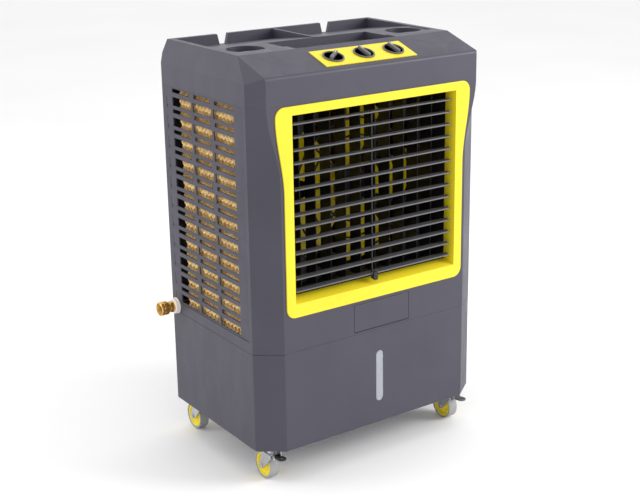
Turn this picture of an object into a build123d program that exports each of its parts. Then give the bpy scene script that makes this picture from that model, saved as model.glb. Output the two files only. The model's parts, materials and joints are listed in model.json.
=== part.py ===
from build123d import *
import os
from math import atan2, cos, degrees, hypot, radians, sin

# Portable evaporative cooler on four casters, in millimetres.
# The floor is z = 0, +Z is up and the air outlet faces -Y. Every piece is built about the
# cabinet's centre line, then all are moved by BALANCE_SHIFT along +X so that the origin
# lies under the middle of the whole cooler, hose connector included.

# ---------- body ----------
WIDTH = 610.0
DEPTH = 407.0
TANK_BOTTOM = 84.0
TANK_HEIGHT = 230.0
CABINET_HEIGHT = 541.0
CREASE_RISE = 60.0
SLOPE_RISE = 34.0
SLOPE_RUN = 103.5
WALL = 3.0
CORNER_LOW_X = 55.0
CORNER_TOP_X = 25.0
CORNER_Y = 41.0
REAR_CORNER = 10.0
SWEEP_START = 165.0
SWEEP_END = 5.0
SWEEP_STEPS = 8
EDGE_ROUND = 5.0
BASE_ROUND = 3.0
SEAM_EDGE = 1.6
RIM_LIP = 4.0
LIP_GAP = 0.4
LIP_WALL = 2.0
LIP_DEPTH = 12.0
LIP_FREE = 4.0
LIP_RELIEF = 24.0
OVERCUT = 1.0

# ---------- top tray ----------
BEVEL_RUN = 24.0
BEVEL_DROP = 49.0
FACET_RUN = 63.0
TRAY_SIDE_RIM = 38.0
TRAY_REAR_RIM = 11.0
TRAY_FRONT_Y = -60.0
TRAY_DROP = 24.0
TRAY_BREAK_Y = 24.0
DECK_DROP = 2.0
DIVIDER_X = -5.0
DIVIDER_WIDTH = 8.0
POCKET_WIDTH = 270.0
POCKET_DEPTH = 20.0
POCKET_FRONT_Y = -98.0
POCKET_REAR_Y = 21.0
CUP_RADIUS = 42.0
CUP_DEPTH = 44.0
CUP_X = 214.0
CUP_Y = -22.0
NOTCH_X = 143.0
NOTCH_TOP = 40.0
NOTCH_FLOOR = 18.0
CREASE_ROUND = 8.0

# ---------- controls ----------
PLATE_WIDTH = 240.0
PLATE_DEPTH = 71.0
PLATE_THICK = 2.0
PLATE_MID = 50.0
KNOB_PITCH = 80.0
KNOB_RADIUS = 24.0
KNOB_SKIRT = 3.0
KNOB_GRIP_HEIGHT = 8.5
KNOB_GRIP_WIDTH = 8.0
KNOB_SHAFT = 3.0
KNOB_REACH = 12.0
KNOB_RIM = 3.0
KNOB_FLOOR = 1.0
KNOB_GRIP_INSET = 2.5
SHAFT_CLEAR = 2.0
KNOB_GAP = 0.5
KNOB_FIT = 0.06
SPEED_KNOB_TURN = 50.0

# ---------- outlet ----------
OUTLET_HALF = 219.5
OUTLET_BOTTOM = 109.0
OUTLET_TOP = 519.0
BEZEL_DEPTH = 32.0
BEZEL_PROUD = 2.5
BEZEL_WALL = 3.0
BEZEL_SIDE_TOP = 40.5
BEZEL_SIDE_LOW = 22.5
BEZEL_ABOVE = 19.0
BEZEL_BELOW = 31.0
BEZEL_CORNER = 22.0
BEZEL_EDGE = 1.5
BEZEL_SWEEP_START = 186.0
BEZEL_SWEEP_END = 24.0
LEDGE_RISE = 9.0
SIDE_FLARE = 4.0
BEZEL_GAP = 1.0

# ---------- louvres ----------
LOUVRES = 14
MASTER_LOUVRE = 6
LOUVRE_END_GAP = 22.5
LOUVRE_NOSE = 6.0
LOUVRE_CHORD = 28.0
LOUVRE_PIVOT = 16.0
LOUVRE_NOSE_R = 1.6
LOUVRE_TAIL_R = 0.9
LOUVRE_SIDE_GAP = 3.0
PIN_RADIUS = 2.5
PIN_FIT = 0.06
PIN_ROOT = 4.0
BAR_X = -6.0
BAR_PIN_R = 1.2
BAR_PIN_BACK = 9.0
BAR_EYE_R = 2.9
BAR_LOOSE_FIT = 0.5
BAR_WIDTH = 3.0
BAR_DEPTH = 3.0
BAR_SLOT_HALF_W = 2.7
BAR_SLOT_HALF_L = 3.8
BAR_ABOVE = 5.0
LOUVRE_REST = 5.0
TAB_WIDTH = 11.0
TAB_DEPTH = 4.5
TAB_HEIGHT = 19.0
TAB_DROP = 12.0
TAB_ROUND = 3.0
FOOT_HEIGHT = 5.0

# ---------- vanes ----------
VANES = 10
MASTER_VANE = 4
VANE_PITCH = 40.0
VANE_GAP = 4.0
VANE_CHORD = 40.0
VANE_PIVOT = 18.0
VANE_NOSE_R = 1.3
VANE_TAIL_R = 0.9
LOUVRE_VANE_GAP = 3.0
VANE_BAR_DROP = 11.0
VANE_EYE_R = 3.4
VANE_BAR_WIDTH = 4.0
VANE_BAR_SHEET = 2.5
VANE_NOTCH_HALF = 4.5
VANE_PIN_INSET = 4.0
VANE_EYE_GAP = 1.2
VANE_BAR_BACK = 4.0
VANE_BAR_END = 5.0
DUCT_DEPTH = 57.0
DUCT_GAP = 0.5

# ---------- fan ----------
FAN_RADIUS = 190.0
FAN_TIP_GAP = 6.0
FAN_BLADES = 5
FAN_HUB = 46.0
FAN_DEPTH = 42.0
FAN_GAP = 12.0
BLADE_THICK = 2.4
BLADE_ROOT_CHORD = 62.0
BLADE_MID_CHORD = 104.0
BLADE_TIP_CHORD = 138.0
BLADE_ROOT_PITCH = 52.0
BLADE_MID_PITCH = 67.0
BLADE_TIP_PITCH = 75.0
BLADE_MID_PLACE = 0.6
HUB_ROUND = 8.0
HUB_WALL = 4.0
HUB_FACE = 6.0
SHAFT_BOSS_R = 12.0
SHAFT_REACH = 30.0
SHAFT_RADIUS = 6.0
SHAFT_FIT = 0.06
MOTOR_RADIUS = 62.0
MOTOR_LENGTH = 84.0
MOTOR_ROUND = 6.0
MOTOR_RING = 4.0
MOTOR_RING_FIT = 0.2
MOTOR_RING_DEPTH = 20.0
SHROUD_PLATE = 3.0
SHROUD_SIDE = 16.0
SHROUD_EDGE = 12.0
SHROUD_RING = 3.0
ARMS = 4
ARM_SETBACK = 4.0
ARM_DEPTH = 8.0
ARM_HALF = 8.0
GUARD_RINGS = 5
GUARD_WIRE = 2.0
GUARD_SETBACK = 0.2
SWING_RADIUS = 24.0
SWING_HEIGHT = 16.0
SWING_EAR = 34.0
SWING_EAR_HALF = 6.0
SWING_SHEET = 3.0
SWING_GAP = 0.2

# ---------- grilles and pads ----------
SLOT_ROWS = 11
GRILLE_TOP_GAP = 4.0
GRILLE_BOTTOM_GAP = 24.0
GRILLE_FRONT = 12.0
GRILLE_REAR = 9.0
GRILLE_GAP = 0.3
GRILLE_HEADER = 3.0
CLAP_RUN = 12.0
CLAP_REAR_INSET = 10.0
CLAP_FRONT_INSET = 3.0
THIN_SLOT = 9.0
THIN_BAR = 10.0
TALL_SLOT = 20.0
SLOT_FRONT_INSET = 34.0
SLOT_REAR_INSET = 37.0
RIB_WIDTH = 8.0
THIN_RIB_WIDTH = 18.0
CLAP_STEP = 1.6
CLAP_END = 1.5
PAD_THICK = 40.0
PAD_GAP = 4.0
PAD_END_GAP = 46.0
PAD_CORNER_GAP = 8.0
PAD_TOP_GAP = 2.0
SHELF_SHEET = 3.0
SHELF_GAP = 1.0
SHELF_RELIEF = 14.0

# ---------- fill door and level window ----------
DOOR_WIDTH = 152.0
DOOR_X = 12.0
DOOR_HEIGHT = 64.0
DOOR_LIFT = 5.5
DOOR_GAP = 1.0
DOOR_PIN_R = 1.1
DOOR_PIN_DEPTH = 2.0
DOOR_PIN_RISE = 3.2
DOOR_PIN_LENGTH = 4.0
EAR_LENGTH = 7.0
EAR_DEPTH = 8.0
EAR_HEIGHT = 10.0
DOOR_PIN_END = 1.5
DOOR_ROUND = 1.4
WINDOW_X = 6.0
WINDOW_WIDTH = 20.0
WINDOW_HEIGHT = 124.0
WINDOW_LIFT = 53.0
WINDOW_FLANGE = 4.0
WINDOW_SUNK = 0.4
WINDOW_FIT = 0.2
WINDOW_BODY = 8.0
WINDOW_CHANNEL = 6.0
BEAD_RADIUS = 6.0
BEAD_THICK = 5.0
BEAD_RISE = 11.0

# ---------- water side ----------
INLET_BACK = 28.5
INLET_RISE = 13.0
INLET_RADIUS = 8.5
INLET_FIT = 0.5
VALVE_REACH = 46.0
VALVE_COLLAR = 3.0
VALVE_COLLAR_LENGTH = 6.0
YOKE_HALF = 7.0
YOKE_SLOT_HALF = 3.5
NUT_RADIUS = 18.0
NUT_LENGTH = 9.0
NUT_EDGE = 2.0
NUT_FIT = 0.2
GASKET_RADIUS = 19.0
GASKET_THICK = 2.0
HOSE_LENGTH = 36.0
COLLAR_RADIUS = 13.5
COLLAR_LENGTH = 11.0
WAIST_RADIUS = 9.5
SOCKET_START = 16.0
SOCKET_ROUND = 1.2
SOCKET_RADIUS = 16.5
SOCKET_BORE = 13.2
SOCKET_DEPTH = 12.0
HOSE_BORE = 6.0
FLOAT_RADIUS = 21.0
FLOAT_ARM = 82.0
FLOAT_HANG = 40.0
FLOAT_PIVOT_X = 48.0
FLOAT_PIVOT_DROP = 10.0
FLOAT_PIN_R = 2.0
FLOAT_PIN_FIT = 0.06
FLOAT_EYE_R = 4.0
FLOAT_EYE_HALF = 3.0
FLOAT_ROD_R = 2.2
DRAIN_X = 190.0
DRAIN_RISE = 24.0
DRAIN_RADIUS = 11.0
DRAIN_FLANGE = 5.0
DRAIN_CAP = 5.0
DRAIN_GRIP = 4.0
DRAIN_GRIP_HALF = 2.0
DRAIN_SHANK = 9.0
DRAIN_FIT = 0.2
CABLE_HOLE_R = 6.0
CABLE_HOLE_X = 270.0
CABLE_HOLE_RISE = 15.0
CABLE_BOSS_WALL = 3.0
CABLE_BOSS_DEPTH = 10.0
PUMP_SIZE = 70.0
PUMP_HEIGHT = 95.0
PUMP_GAP = 0.3
PUMP_ROUND = 8.0
PUMP_OFFSET = 26.0
SPIGOT_RADIUS = 9.0
SPIGOT_HEIGHT = 10.0
RISER_RADIUS = 7.0
RISER_SIDE_GAP = 9.0
RISER_REAR_GAP = 26.0
RISER_PAD = 9.0
TROUGH_HEIGHT = 12.0
TROUGH_WALL = 2.0
TROUGH_SIDE_INSET = 3.0
TROUGH_REAR_INSET = 4.0
TROUGH_SINK = 0.5

# ---------- casters ----------
CASTER_X = 260.0
CASTER_Y = 157.0
CASTER_PLATE = 44.0
CASTER_PLATE_ROUND = 5.0
PLATE_SHEET = 2.5
CASTER_BOSS_R = 15.0
CASTER_BOSS = 5.0
TRAIL = 22.0
WHEEL_RADIUS = 32.0
WHEEL_WIDTH = 24.0
TREAD = 4.5
TREAD_ROUND = 3.0
RIM_WALL = 4.0
RIM_INSET = 1.5
WEB_HALF = 3.0
HUB_BOSS_R = 9.0
HUB_BOSS_GAP = 0.4
FORK_SHEET = 2.5
FORK_GAP = 1.2
CROWN_GAP = 3.0
CROWN_FRONT = 15.0
CROWN_BACK = 17.0
BEARING_RADIUS = 13.0
BEARING_GAP = 0.5
AXLE_END = 2.0
KINGPIN = 5.0
KINGPIN_FIT = 0.06
AXLE_RADIUS = 4.0
AXLE_FIT = 0.06
PEDAL_TILT = 8.0
PEDAL_LENGTH = 27.0
PEDAL_WIDTH = 18.0
PEDAL_BACK = 20.0
PEDAL_PIN = 2.0
PEDAL_HALF_THICK = 2.0
PEDAL_HUB_HALF = 7.0
PEDAL_HUB_R = 4.0
PEDAL_PIN_DROP = 2.0
EAR_IN = 8.0
EAR_OUT = 10.5
EAR_DROP = 7.0
SCREW_RADIUS = 2.4
SCREW_HOLE = 2.6
SCREW_HEAD = 4.2
SCREW_PITCH = 32.0
SCREW_DEPTH = 9.0
SCREW_HEAD_HEIGHT = 2.5
SCREW_BOSS_WALL = 3.0
SCREW_BOSS_CAP = 2.0

# ---------- derived places ----------
HALF_W = WIDTH / 2
HALF_D = DEPTH / 2
TANK_TOP = TANK_BOTTOM + TANK_HEIGHT
CABINET_TOP = TANK_TOP + CABINET_HEIGHT
CREASE_Z = CABINET_TOP + CREASE_RISE
TOP_Z = CREASE_Z + SLOPE_RISE
SLOPE_BACK_Y = SLOPE_RUN - HALF_D
FRONT_Y = -HALF_D
OPEN_LOW = TANK_TOP + OUTLET_BOTTOM
OPEN_HIGH = TANK_TOP + OUTLET_TOP
BEZEL_FRONT = FRONT_Y - BEZEL_PROUD
BEZEL_REAR = BEZEL_FRONT + BEZEL_DEPTH
DUCT_HALF = OUTLET_HALF - SIDE_FLARE
DUCT_LOW = OPEN_LOW + LEDGE_RISE
DUCT_REAR = BEZEL_REAR + DUCT_DEPTH
LOUVRE_FRONT = BEZEL_FRONT + LOUVRE_NOSE
LOUVRE_Y = LOUVRE_FRONT + LOUVRE_PIVOT
LOUVRE_STEP = (OPEN_HIGH - OPEN_LOW - 2 * LOUVRE_END_GAP) / (LOUVRES - 1)
VANE_FRONT = LOUVRE_FRONT + LOUVRE_CHORD + LOUVRE_VANE_GAP
VANE_Y = VANE_FRONT + VANE_PIVOT
FAN_X = 0.0
FAN_Z = (OPEN_LOW + OPEN_HIGH) / 2
FAN_FRONT = DUCT_REAR + SHROUD_PLATE + FAN_GAP
MOTOR_FRONT = FAN_FRONT + FAN_DEPTH + FAN_GAP
GRILLE_LOW = TANK_TOP + GRILLE_BOTTOM_GAP
GRILLE_HIGH = CABINET_TOP - GRILLE_TOP_GAP
ROW_PITCH = (GRILLE_HIGH - GRILLE_LOW) / SLOT_ROWS
DOOR_LOW = TANK_TOP + DOOR_LIFT
DOOR_Y = FRONT_Y + DOOR_PIN_DEPTH
DOOR_Z = DOOR_LOW + DOOR_PIN_RISE
INLET_Y = HALF_D - INLET_BACK
INLET_Z = TANK_TOP + INLET_RISE
SLOPE_ANGLE = atan2(SLOPE_RISE, SLOPE_RUN)
CONNECTOR_REACH = GASKET_THICK + NUT_LENGTH + HOSE_LENGTH
BALANCE_SHIFT = CONNECTOR_REACH / 2
FORK_HALF = WHEEL_WIDTH / 2 + FORK_GAP
CROWN_LOW = 2 * WHEEL_RADIUS + CROWN_GAP
BOSS_LOW = TANK_BOTTOM - PLATE_SHEET - CASTER_BOSS


# ---------- helpers ----------
def block(x0, x1, y0, y1, z0, z1):
    return Pos((x0 + x1) / 2, (y0 + y1) / 2, (z0 + z1) / 2) * Box(x1 - x0, y1 - y0, z1 - z0)


LOW = (Align.CENTER, Align.CENTER, Align.MIN)
HIGH = (Align.CENTER, Align.CENTER, Align.MAX)


def rod(radius, start, end):
    axis = Vector(*end) - Vector(*start)
    place = Plane(origin=start, z_dir=axis)
    return place * Cylinder(radius, axis.length, align=LOW)


def plan_face(points, z):
    return Plane.XY.offset(z) * Polygon(*points, align=None)


def prism(points, z0, z1):
    return extrude(plan_face(points, z0), amount=z1 - z0, dir=(0, 0, 1))


def across(points, x0, x1):
    """A solid of constant (y, z) section between x0 and x1."""
    return extrude(Plane.YZ.offset(x0) * Polygon(*points, align=None), amount=x1 - x0, dir=(1, 0, 0))


def along_y(points, y0, y1):
    """A solid of constant (x, z) section between y0 and y1."""
    flat = Plane(origin=(0, y0, 0), x_dir=(1, 0, 0), z_dir=(0, -1, 0)) * Polygon(*points, align=None)
    return extrude(flat, amount=y1 - y0, dir=(0, 1, 0))


def mirrored(shape):
    return mirror(shape, about=Plane.YZ)


def save(name, *solids):
    """Write the solids, moved to the row's frame, as one node."""
    moved = [Pos(BALANCE_SHIFT, 0, 0) * solid for part in solids for solid in part.solids()]
    export_step(moved[0] if len(moved) == 1 else Compound(children=moved), f"parts/{name}.step")


def outline(corner_x, inset=0.0):
    """Plan of the body, moved in by inset: large front chamfers, small rear ones."""
    def legs(a, b):
        shrink = 1 + inset * (hypot(1 / a, 1 / b) - 1 / a - 1 / b)
        return a * shrink, b * shrink
    hx, hy = HALF_W - inset, HALF_D - inset
    fx, fy = legs(corner_x, CORNER_Y)
    rx, ry = legs(REAR_CORNER, REAR_CORNER)
    right = [(hx - fx, -hy), (hx, -hy + fy), (hx, hy - ry), (hx - rx, hy)]
    return right + [(-x, y) for x, y in reversed(right)]


def smooth(t):
    t = min(max(t, 0.0), 1.0)
    return t * t * (3 - 2 * t)


def corner_at(z):
    """Front chamfer's width at a height: it narrows in a sweep below the cover."""
    start, end = CABINET_TOP - SWEEP_START, CABINET_TOP - SWEEP_END
    return CORNER_LOW_X + (CORNER_TOP_X - CORNER_LOW_X) * smooth((z - start) / (end - start))


def body_column(inset, z0, z1):
    """The cabinet's outer or inner form, with the swept front corners."""
    start, end = CABINET_TOP - SWEEP_START, CABINET_TOP - SWEEP_END
    steps = [start + (end - start) * i / SWEEP_STEPS for i in range(SWEEP_STEPS + 1)]
    sweep = loft([plan_face(outline(corner_at(z), inset), z) for z in steps])
    low = prism(outline(CORNER_LOW_X, inset), z0, start)
    high = prism(outline(CORNER_TOP_X, inset), end, z1)
    return low + sweep + high


# ---------- tank ----------
def caster_centres():
    return [(sx * CASTER_X, sy * CASTER_Y) for sy in (-1, 1) for sx in (-1, 1)]


def screw_centres():
    """Four screws at the corners of each caster's plate."""
    half = SCREW_PITCH / 2
    return [(x + i * half, y + j * half) for x, y in caster_centres() for i in (-1, 1) for j in (-1, 1)]


def base_tank():
    shape = prism(outline(CORNER_LOW_X), TANK_BOTTOM, TANK_TOP)
    shape = fillet(shape.edges().filter_by(Axis.Z), EDGE_ROUND)
    shape = chamfer(shape.edges().group_by(Axis.Z)[-1], SEAM_EDGE)
    shape = fillet(shape.edges().group_by(Axis.Z)[0], BASE_ROUND)
    shape -= prism(outline(CORNER_LOW_X, WALL), TANK_BOTTOM + WALL, TANK_TOP + 1)
    outer = WALL + LIP_GAP
    inner = outer + LIP_WALL
    foot, top = TANK_TOP - LIP_DEPTH, TANK_TOP + RIM_LIP
    hollow = prism(outline(CORNER_LOW_X, inner), foot - OVERCUT, top + OVERCUT)
    shape += prism(outline(CORNER_LOW_X, outer), foot, top) - hollow
    shape += prism(outline(CORNER_LOW_X, WALL / 2), foot, TANK_TOP - LIP_FREE) - hollow
    relief = (-HALF_W + WALL, -HALF_W + inner + LIP_WALL)
    shape -= block(*relief, INLET_Y - LIP_RELIEF, INLET_Y + LIP_RELIEF, TANK_TOP - LIP_GAP, top + OVERCUT)
    slot = Plane(origin=(WINDOW_X, FRONT_Y - OVERCUT, window_z()), x_dir=(0, 0, 1), z_dir=(0, 1, 0))
    shape -= extrude(slot * SlotOverall(WINDOW_HEIGHT, WINDOW_WIDTH), amount=WALL + 2 * OVERCUT)
    for x, y in screw_centres():
        deep = TANK_BOTTOM + SCREW_DEPTH
        shape += rod(SCREW_RADIUS + SCREW_BOSS_WALL, (x, y, TANK_BOTTOM + 1), (x, y, deep + SCREW_BOSS_CAP))
        shape -= rod(SCREW_HOLE, (x, y, TANK_BOTTOM - OVERCUT), (x, y, deep))
    z = TANK_BOTTOM + DRAIN_RISE
    return shape - rod(DRAIN_RADIUS, (DRAIN_X, HALF_D - WALL - OVERCUT, z), (DRAIN_X, HALF_D + OVERCUT, z))


def window_z():
    return TANK_BOTTOM + WINDOW_LIFT + WINDOW_HEIGHT / 2


def level_window():
    """Clear strip with a flange behind the tank wall, and the red bead in its channel."""
    place = Plane(origin=(WINDOW_X, FRONT_Y + WINDOW_SUNK, window_z()), x_dir=(0, 0, 1), z_dir=(0, 1, 0))
    face = SlotOverall(WINDOW_HEIGHT - 2 * WINDOW_FIT, WINDOW_WIDTH - 2 * WINDOW_FIT)
    lens = extrude(place * face, amount=WALL)
    back = place.offset(WALL - WINDOW_SUNK + 0.1)
    flange = SlotOverall(WINDOW_HEIGHT + 2 * WINDOW_FLANGE, WINDOW_WIDTH + 2 * WINDOW_FLANGE)
    lens += extrude(back * flange, amount=WINDOW_BODY)
    channel = SlotOverall(WINDOW_HEIGHT - WINDOW_CHANNEL, WINDOW_WIDTH - WINDOW_CHANNEL)
    lens -= extrude(back * channel, amount=WINDOW_CHANNEL)
    bead_z = window_z() - WINDOW_HEIGHT / 2 + BEAD_RISE
    bead_y = FRONT_Y + WALL + WINDOW_CHANNEL / 2
    return lens, Pos(WINDOW_X, bead_y, bead_z) * Cylinder(BEAD_RADIUS, BEAD_THICK, rotation=(90, 0, 0))


def drain_plug():
    z = TANK_BOTTOM + DRAIN_RISE
    face = HALF_D + DRAIN_CAP
    cap = rod(DRAIN_RADIUS + DRAIN_FLANGE, (DRAIN_X, HALF_D, z), (DRAIN_X, face, z))
    cap += block(DRAIN_X - DRAIN_GRIP_HALF, DRAIN_X + DRAIN_GRIP_HALF, face - 1, face + DRAIN_GRIP,
                 z - DRAIN_RADIUS, z + DRAIN_RADIUS)
    return cap + rod(DRAIN_RADIUS - DRAIN_FIT, (DRAIN_X, HALF_D - DRAIN_SHANK, z), (DRAIN_X, HALF_D + 1, z))


# ---------- cabinet ----------
def grille_span():
    """Front and rear edges, in y, of the side grille's opening."""
    return FRONT_Y + CORNER_Y + GRILLE_FRONT, HALF_D - REAR_CORNER - GRILLE_REAR


def cabinet():
    shape = body_column(0, TANK_TOP, CABINET_TOP) - body_column(WALL, TANK_TOP - 1, CABINET_TOP + 1)
    half = OUTLET_HALF + BEZEL_WALL + BEZEL_GAP
    low, high = OPEN_LOW - BEZEL_WALL - BEZEL_GAP, OPEN_HIGH + BEZEL_WALL + BEZEL_GAP
    shape -= block(-half, half, FRONT_Y - 1, FRONT_Y + WALL + 1, low, high)
    y0, y1 = grille_span()
    shape -= block(-HALF_W - 1, HALF_W + 1, y0, y1, GRILLE_LOW, GRILLE_HIGH)
    back = HALF_W - REAR_CORNER - GRILLE_REAR
    shape -= block(-back, back, HALF_D - WALL - 1, HALF_D + 1, GRILLE_LOW, GRILLE_HIGH)
    shelf_in = WALL + PAD_GAP + PAD_THICK
    shelf_top = GRILLE_LOW - SHELF_GAP
    shelf = prism(outline(CORNER_LOW_X, WALL / 2), shelf_top - SHELF_SHEET, shelf_top)
    shelf -= block(-HALF_W + shelf_in, HALF_W - shelf_in, FRONT_Y - 1, HALF_D - shelf_in, 0, TOP_Z)
    shelf -= block(-HALF_W, HALF_W, FRONT_Y - 1, y0 - PAD_GAP, 0, TOP_Z)
    relief = (-HALF_W + WALL + VALVE_REACH, INLET_Y, INLET_Z)
    shape += shelf - rod(INLET_RADIUS + SHELF_RELIEF, (-HALF_W, INLET_Y, INLET_Z), relief)
    left, right = DOOR_X - DOOR_WIDTH / 2, DOOR_X + DOOR_WIDTH / 2
    ear_y = FRONT_Y + WALL + EAR_DEPTH
    for x0, x1 in ((left - DOOR_GAP - EAR_LENGTH, left + 1), (right - 1, right + DOOR_GAP + EAR_LENGTH)):
        shape += block(x0, x1, FRONT_Y + 1, ear_y, DOOR_LOW, DOOR_LOW + EAR_HEIGHT)
    shape -= block(left - DOOR_GAP, right + DOOR_GAP, FRONT_Y - 1, ear_y + 1,
                   DOOR_LOW - DOOR_GAP, DOOR_LOW + DOOR_HEIGHT + DOOR_GAP)
    reach = DOOR_WIDTH / 2 + DOOR_PIN_LENGTH + DOOR_PIN_END
    shape -= rod(DOOR_PIN_R + PIN_FIT, (DOOR_X - reach, DOOR_Y, DOOR_Z), (DOOR_X + reach, DOOR_Y, DOOR_Z))
    outside, inside = -HALF_W - OVERCUT, -HALF_W + WALL + OVERCUT
    shape -= rod(INLET_RADIUS + INLET_FIT, (outside, INLET_Y, INLET_Z), (inside, INLET_Y, INLET_Z))
    z = TANK_TOP + CABLE_HOLE_RISE
    boss = HALF_D - CABLE_BOSS_DEPTH
    shape += rod(CABLE_HOLE_R + CABLE_BOSS_WALL, (CABLE_HOLE_X, boss, z), (CABLE_HOLE_X, HALF_D - 1, z))
    return shape - rod(CABLE_HOLE_R, (CABLE_HOLE_X, boss - OVERCUT, z), (CABLE_HOLE_X, HALF_D + OVERCUT, z))


def fill_door():
    left = DOOR_X - DOOR_WIDTH / 2
    shape = block(left, left + DOOR_WIDTH, FRONT_Y, FRONT_Y + WALL, DOOR_LOW, DOOR_LOW + DOOR_HEIGHT)
    shape = fillet(shape.edges().filter_by(Axis.X).group_by(Axis.Y)[0], DOOR_ROUND)
    reach = DOOR_WIDTH / 2 + DOOR_PIN_LENGTH
    return shape + rod(DOOR_PIN_R, (DOOR_X - reach, DOOR_Y, DOOR_Z), (DOOR_X + reach, DOOR_Y, DOOR_Z))


# ---------- top cover ----------
def half_space(origin, normal):
    """A large box on the outer side of a plane."""
    place = Plane(origin=origin, z_dir=normal)
    return place * Box(4 * TOP_Z, 4 * TOP_Z, TOP_Z, align=LOW)


def cover_form(inset):
    shape = prism(outline(CORNER_TOP_X, inset), CABINET_TOP - (1 if inset else 0), TOP_Z - inset)
    slope = Vector(0, -SLOPE_RISE, SLOPE_RUN).normalized()
    shape -= half_space(Vector(0, FRONT_Y, CREASE_Z) - slope * inset, slope)
    bevel = Vector(BEVEL_DROP, 0, BEVEL_RUN).normalized()
    a = Vector(HALF_W - BEVEL_RUN, FRONT_Y, CREASE_Z)
    b = Vector(HALF_W - BEVEL_RUN, SLOPE_BACK_Y, TOP_Z)
    c = Vector(HALF_W, SLOPE_BACK_Y - FACET_RUN, TOP_Z - BEVEL_DROP)
    facet = (c - a).cross(b - a).normalized()
    edge = Vector(HALF_W - BEVEL_RUN, 0, TOP_Z)
    cuts = [half_space(edge - bevel * inset, bevel), half_space(a - facet * inset, facet)]
    for cut in cuts:
        shape -= cut
        shape -= mirrored(cut)
    return shape


def tray_recess(grow):
    """Deck, tray, front pocket, cup holders and rim notches, enlarged by grow for the inside."""
    half = HALF_W - TRAY_SIDE_RIM + grow
    rear = HALF_D - TRAY_REAR_RIM + grow
    top = TOP_Z + 20
    deck = TOP_Z - DECK_DROP - grow
    floor = TOP_Z - TRAY_DROP - grow
    side = [(TRAY_FRONT_Y, top), (TRAY_FRONT_Y, deck), (TRAY_BREAK_Y, deck), (rear, floor), (rear, top)]
    shape = across(side, -half, half)
    if not grow:
        shape -= block(DIVIDER_X - DIVIDER_WIDTH / 2, DIVIDER_X + DIVIDER_WIDTH / 2,
                       POCKET_REAR_Y - 1, rear + 1, 0, TOP_Z - 1)
    shape += block(-POCKET_WIDTH / 2 - grow, POCKET_WIDTH / 2 + grow, POCKET_FRONT_Y - grow,
                   POCKET_REAR_Y + grow, TOP_Z - POCKET_DEPTH - grow, top)
    for x in (-CUP_X, CUP_X):
        shape += rod(CUP_RADIUS + grow, (x, CUP_Y, TOP_Z - CUP_DEPTH - grow), (x, CUP_Y, top))
    for x in (-NOTCH_X, NOTCH_X):
        low, high = NOTCH_FLOOR / 2 + grow, NOTCH_TOP / 2 + grow
        cut = [(x - low, floor), (x + low, floor), (x + high, top), (x - high, top)]
        shape += along_y(cut, rear - WALL, HALF_D + 1)
    return shape


def knob_places():
    """Each knob's name, centre x and the way its grip is turned at rest."""
    return [("speed_knob", -KNOB_PITCH, SPEED_KNOB_TURN),
            ("pump_knob", 0.0, 0.0),
            ("swing_knob", KNOB_PITCH, 0.0)]


def slope_plane(x, lift=0.0):
    """A plane on the front slope at the controls' middle line, its Y running up the slope."""
    along = Vector(0, cos(SLOPE_ANGLE), sin(SLOPE_ANGLE))
    normal = Vector(0, -sin(SLOPE_ANGLE), cos(SLOPE_ANGLE))
    origin = Vector(x, FRONT_Y, CREASE_Z) + along * PLATE_MID + normal * lift
    return Plane(origin=origin, x_dir=(1, 0, 0), z_dir=normal)


def top_cover():
    outer = cover_form(0)
    crease = outer.edges().filter_by(Axis.X).filter_by(lambda e: abs(e.center().Z - CREASE_Z) < 1)
    outer = fillet(crease, CREASE_ROUND)
    outer -= tray_recess(0)
    shape = outer - (cover_form(WALL) - tray_recess(WALL))
    for _, x, _ in knob_places():
        deep = WALL + OVERCUT
        shape -= slope_plane(x, -deep) * Cylinder(KNOB_SHAFT + SHAFT_CLEAR, deep + OVERCUT, align=LOW)
    return shape


def control_plate():
    shape = slope_plane(0) * Box(PLATE_WIDTH, PLATE_DEPTH, PLATE_THICK, align=LOW)
    for _, x, _ in knob_places():
        hole = Cylinder(KNOB_SHAFT + KNOB_FIT, PLATE_THICK + 2 * OVERCUT, align=LOW)
        shape -= slope_plane(x, -OVERCUT) * hole
    return shape


def knob(x, turn):
    place = slope_plane(x, PLATE_THICK + KNOB_GAP) * Rot(0, 0, -turn)
    skirt = Cylinder(KNOB_RADIUS, KNOB_SKIRT, align=LOW)
    skirt -= Pos(0, 0, KNOB_FLOOR) * Cylinder(KNOB_RADIUS - KNOB_RIM, KNOB_SKIRT, align=LOW)
    grip = Box(KNOB_GRIP_WIDTH, 2 * (KNOB_RADIUS - KNOB_GRIP_INSET), KNOB_GRIP_HEIGHT, align=LOW)
    stem = Cylinder(KNOB_SHAFT, PLATE_THICK + KNOB_GAP + KNOB_REACH, align=HIGH)
    return place * (skirt + Pos(0, 0, KNOB_FLOOR / 2) * grip + Pos(0, 0, KNOB_FLOOR) * stem)


# ---------- outlet bezel and louvres ----------
def bezel_half(z):
    """Half width of the bezel's outer edge: it follows the sweep of the body's corner."""
    low, high = OPEN_HIGH + BEZEL_ABOVE - BEZEL_SWEEP_START, OPEN_HIGH + BEZEL_ABOVE - BEZEL_SWEEP_END
    grow = smooth((z - low) / (high - low))
    return OUTLET_HALF + BEZEL_SIDE_LOW + (BEZEL_SIDE_TOP - BEZEL_SIDE_LOW) * grow


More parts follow.
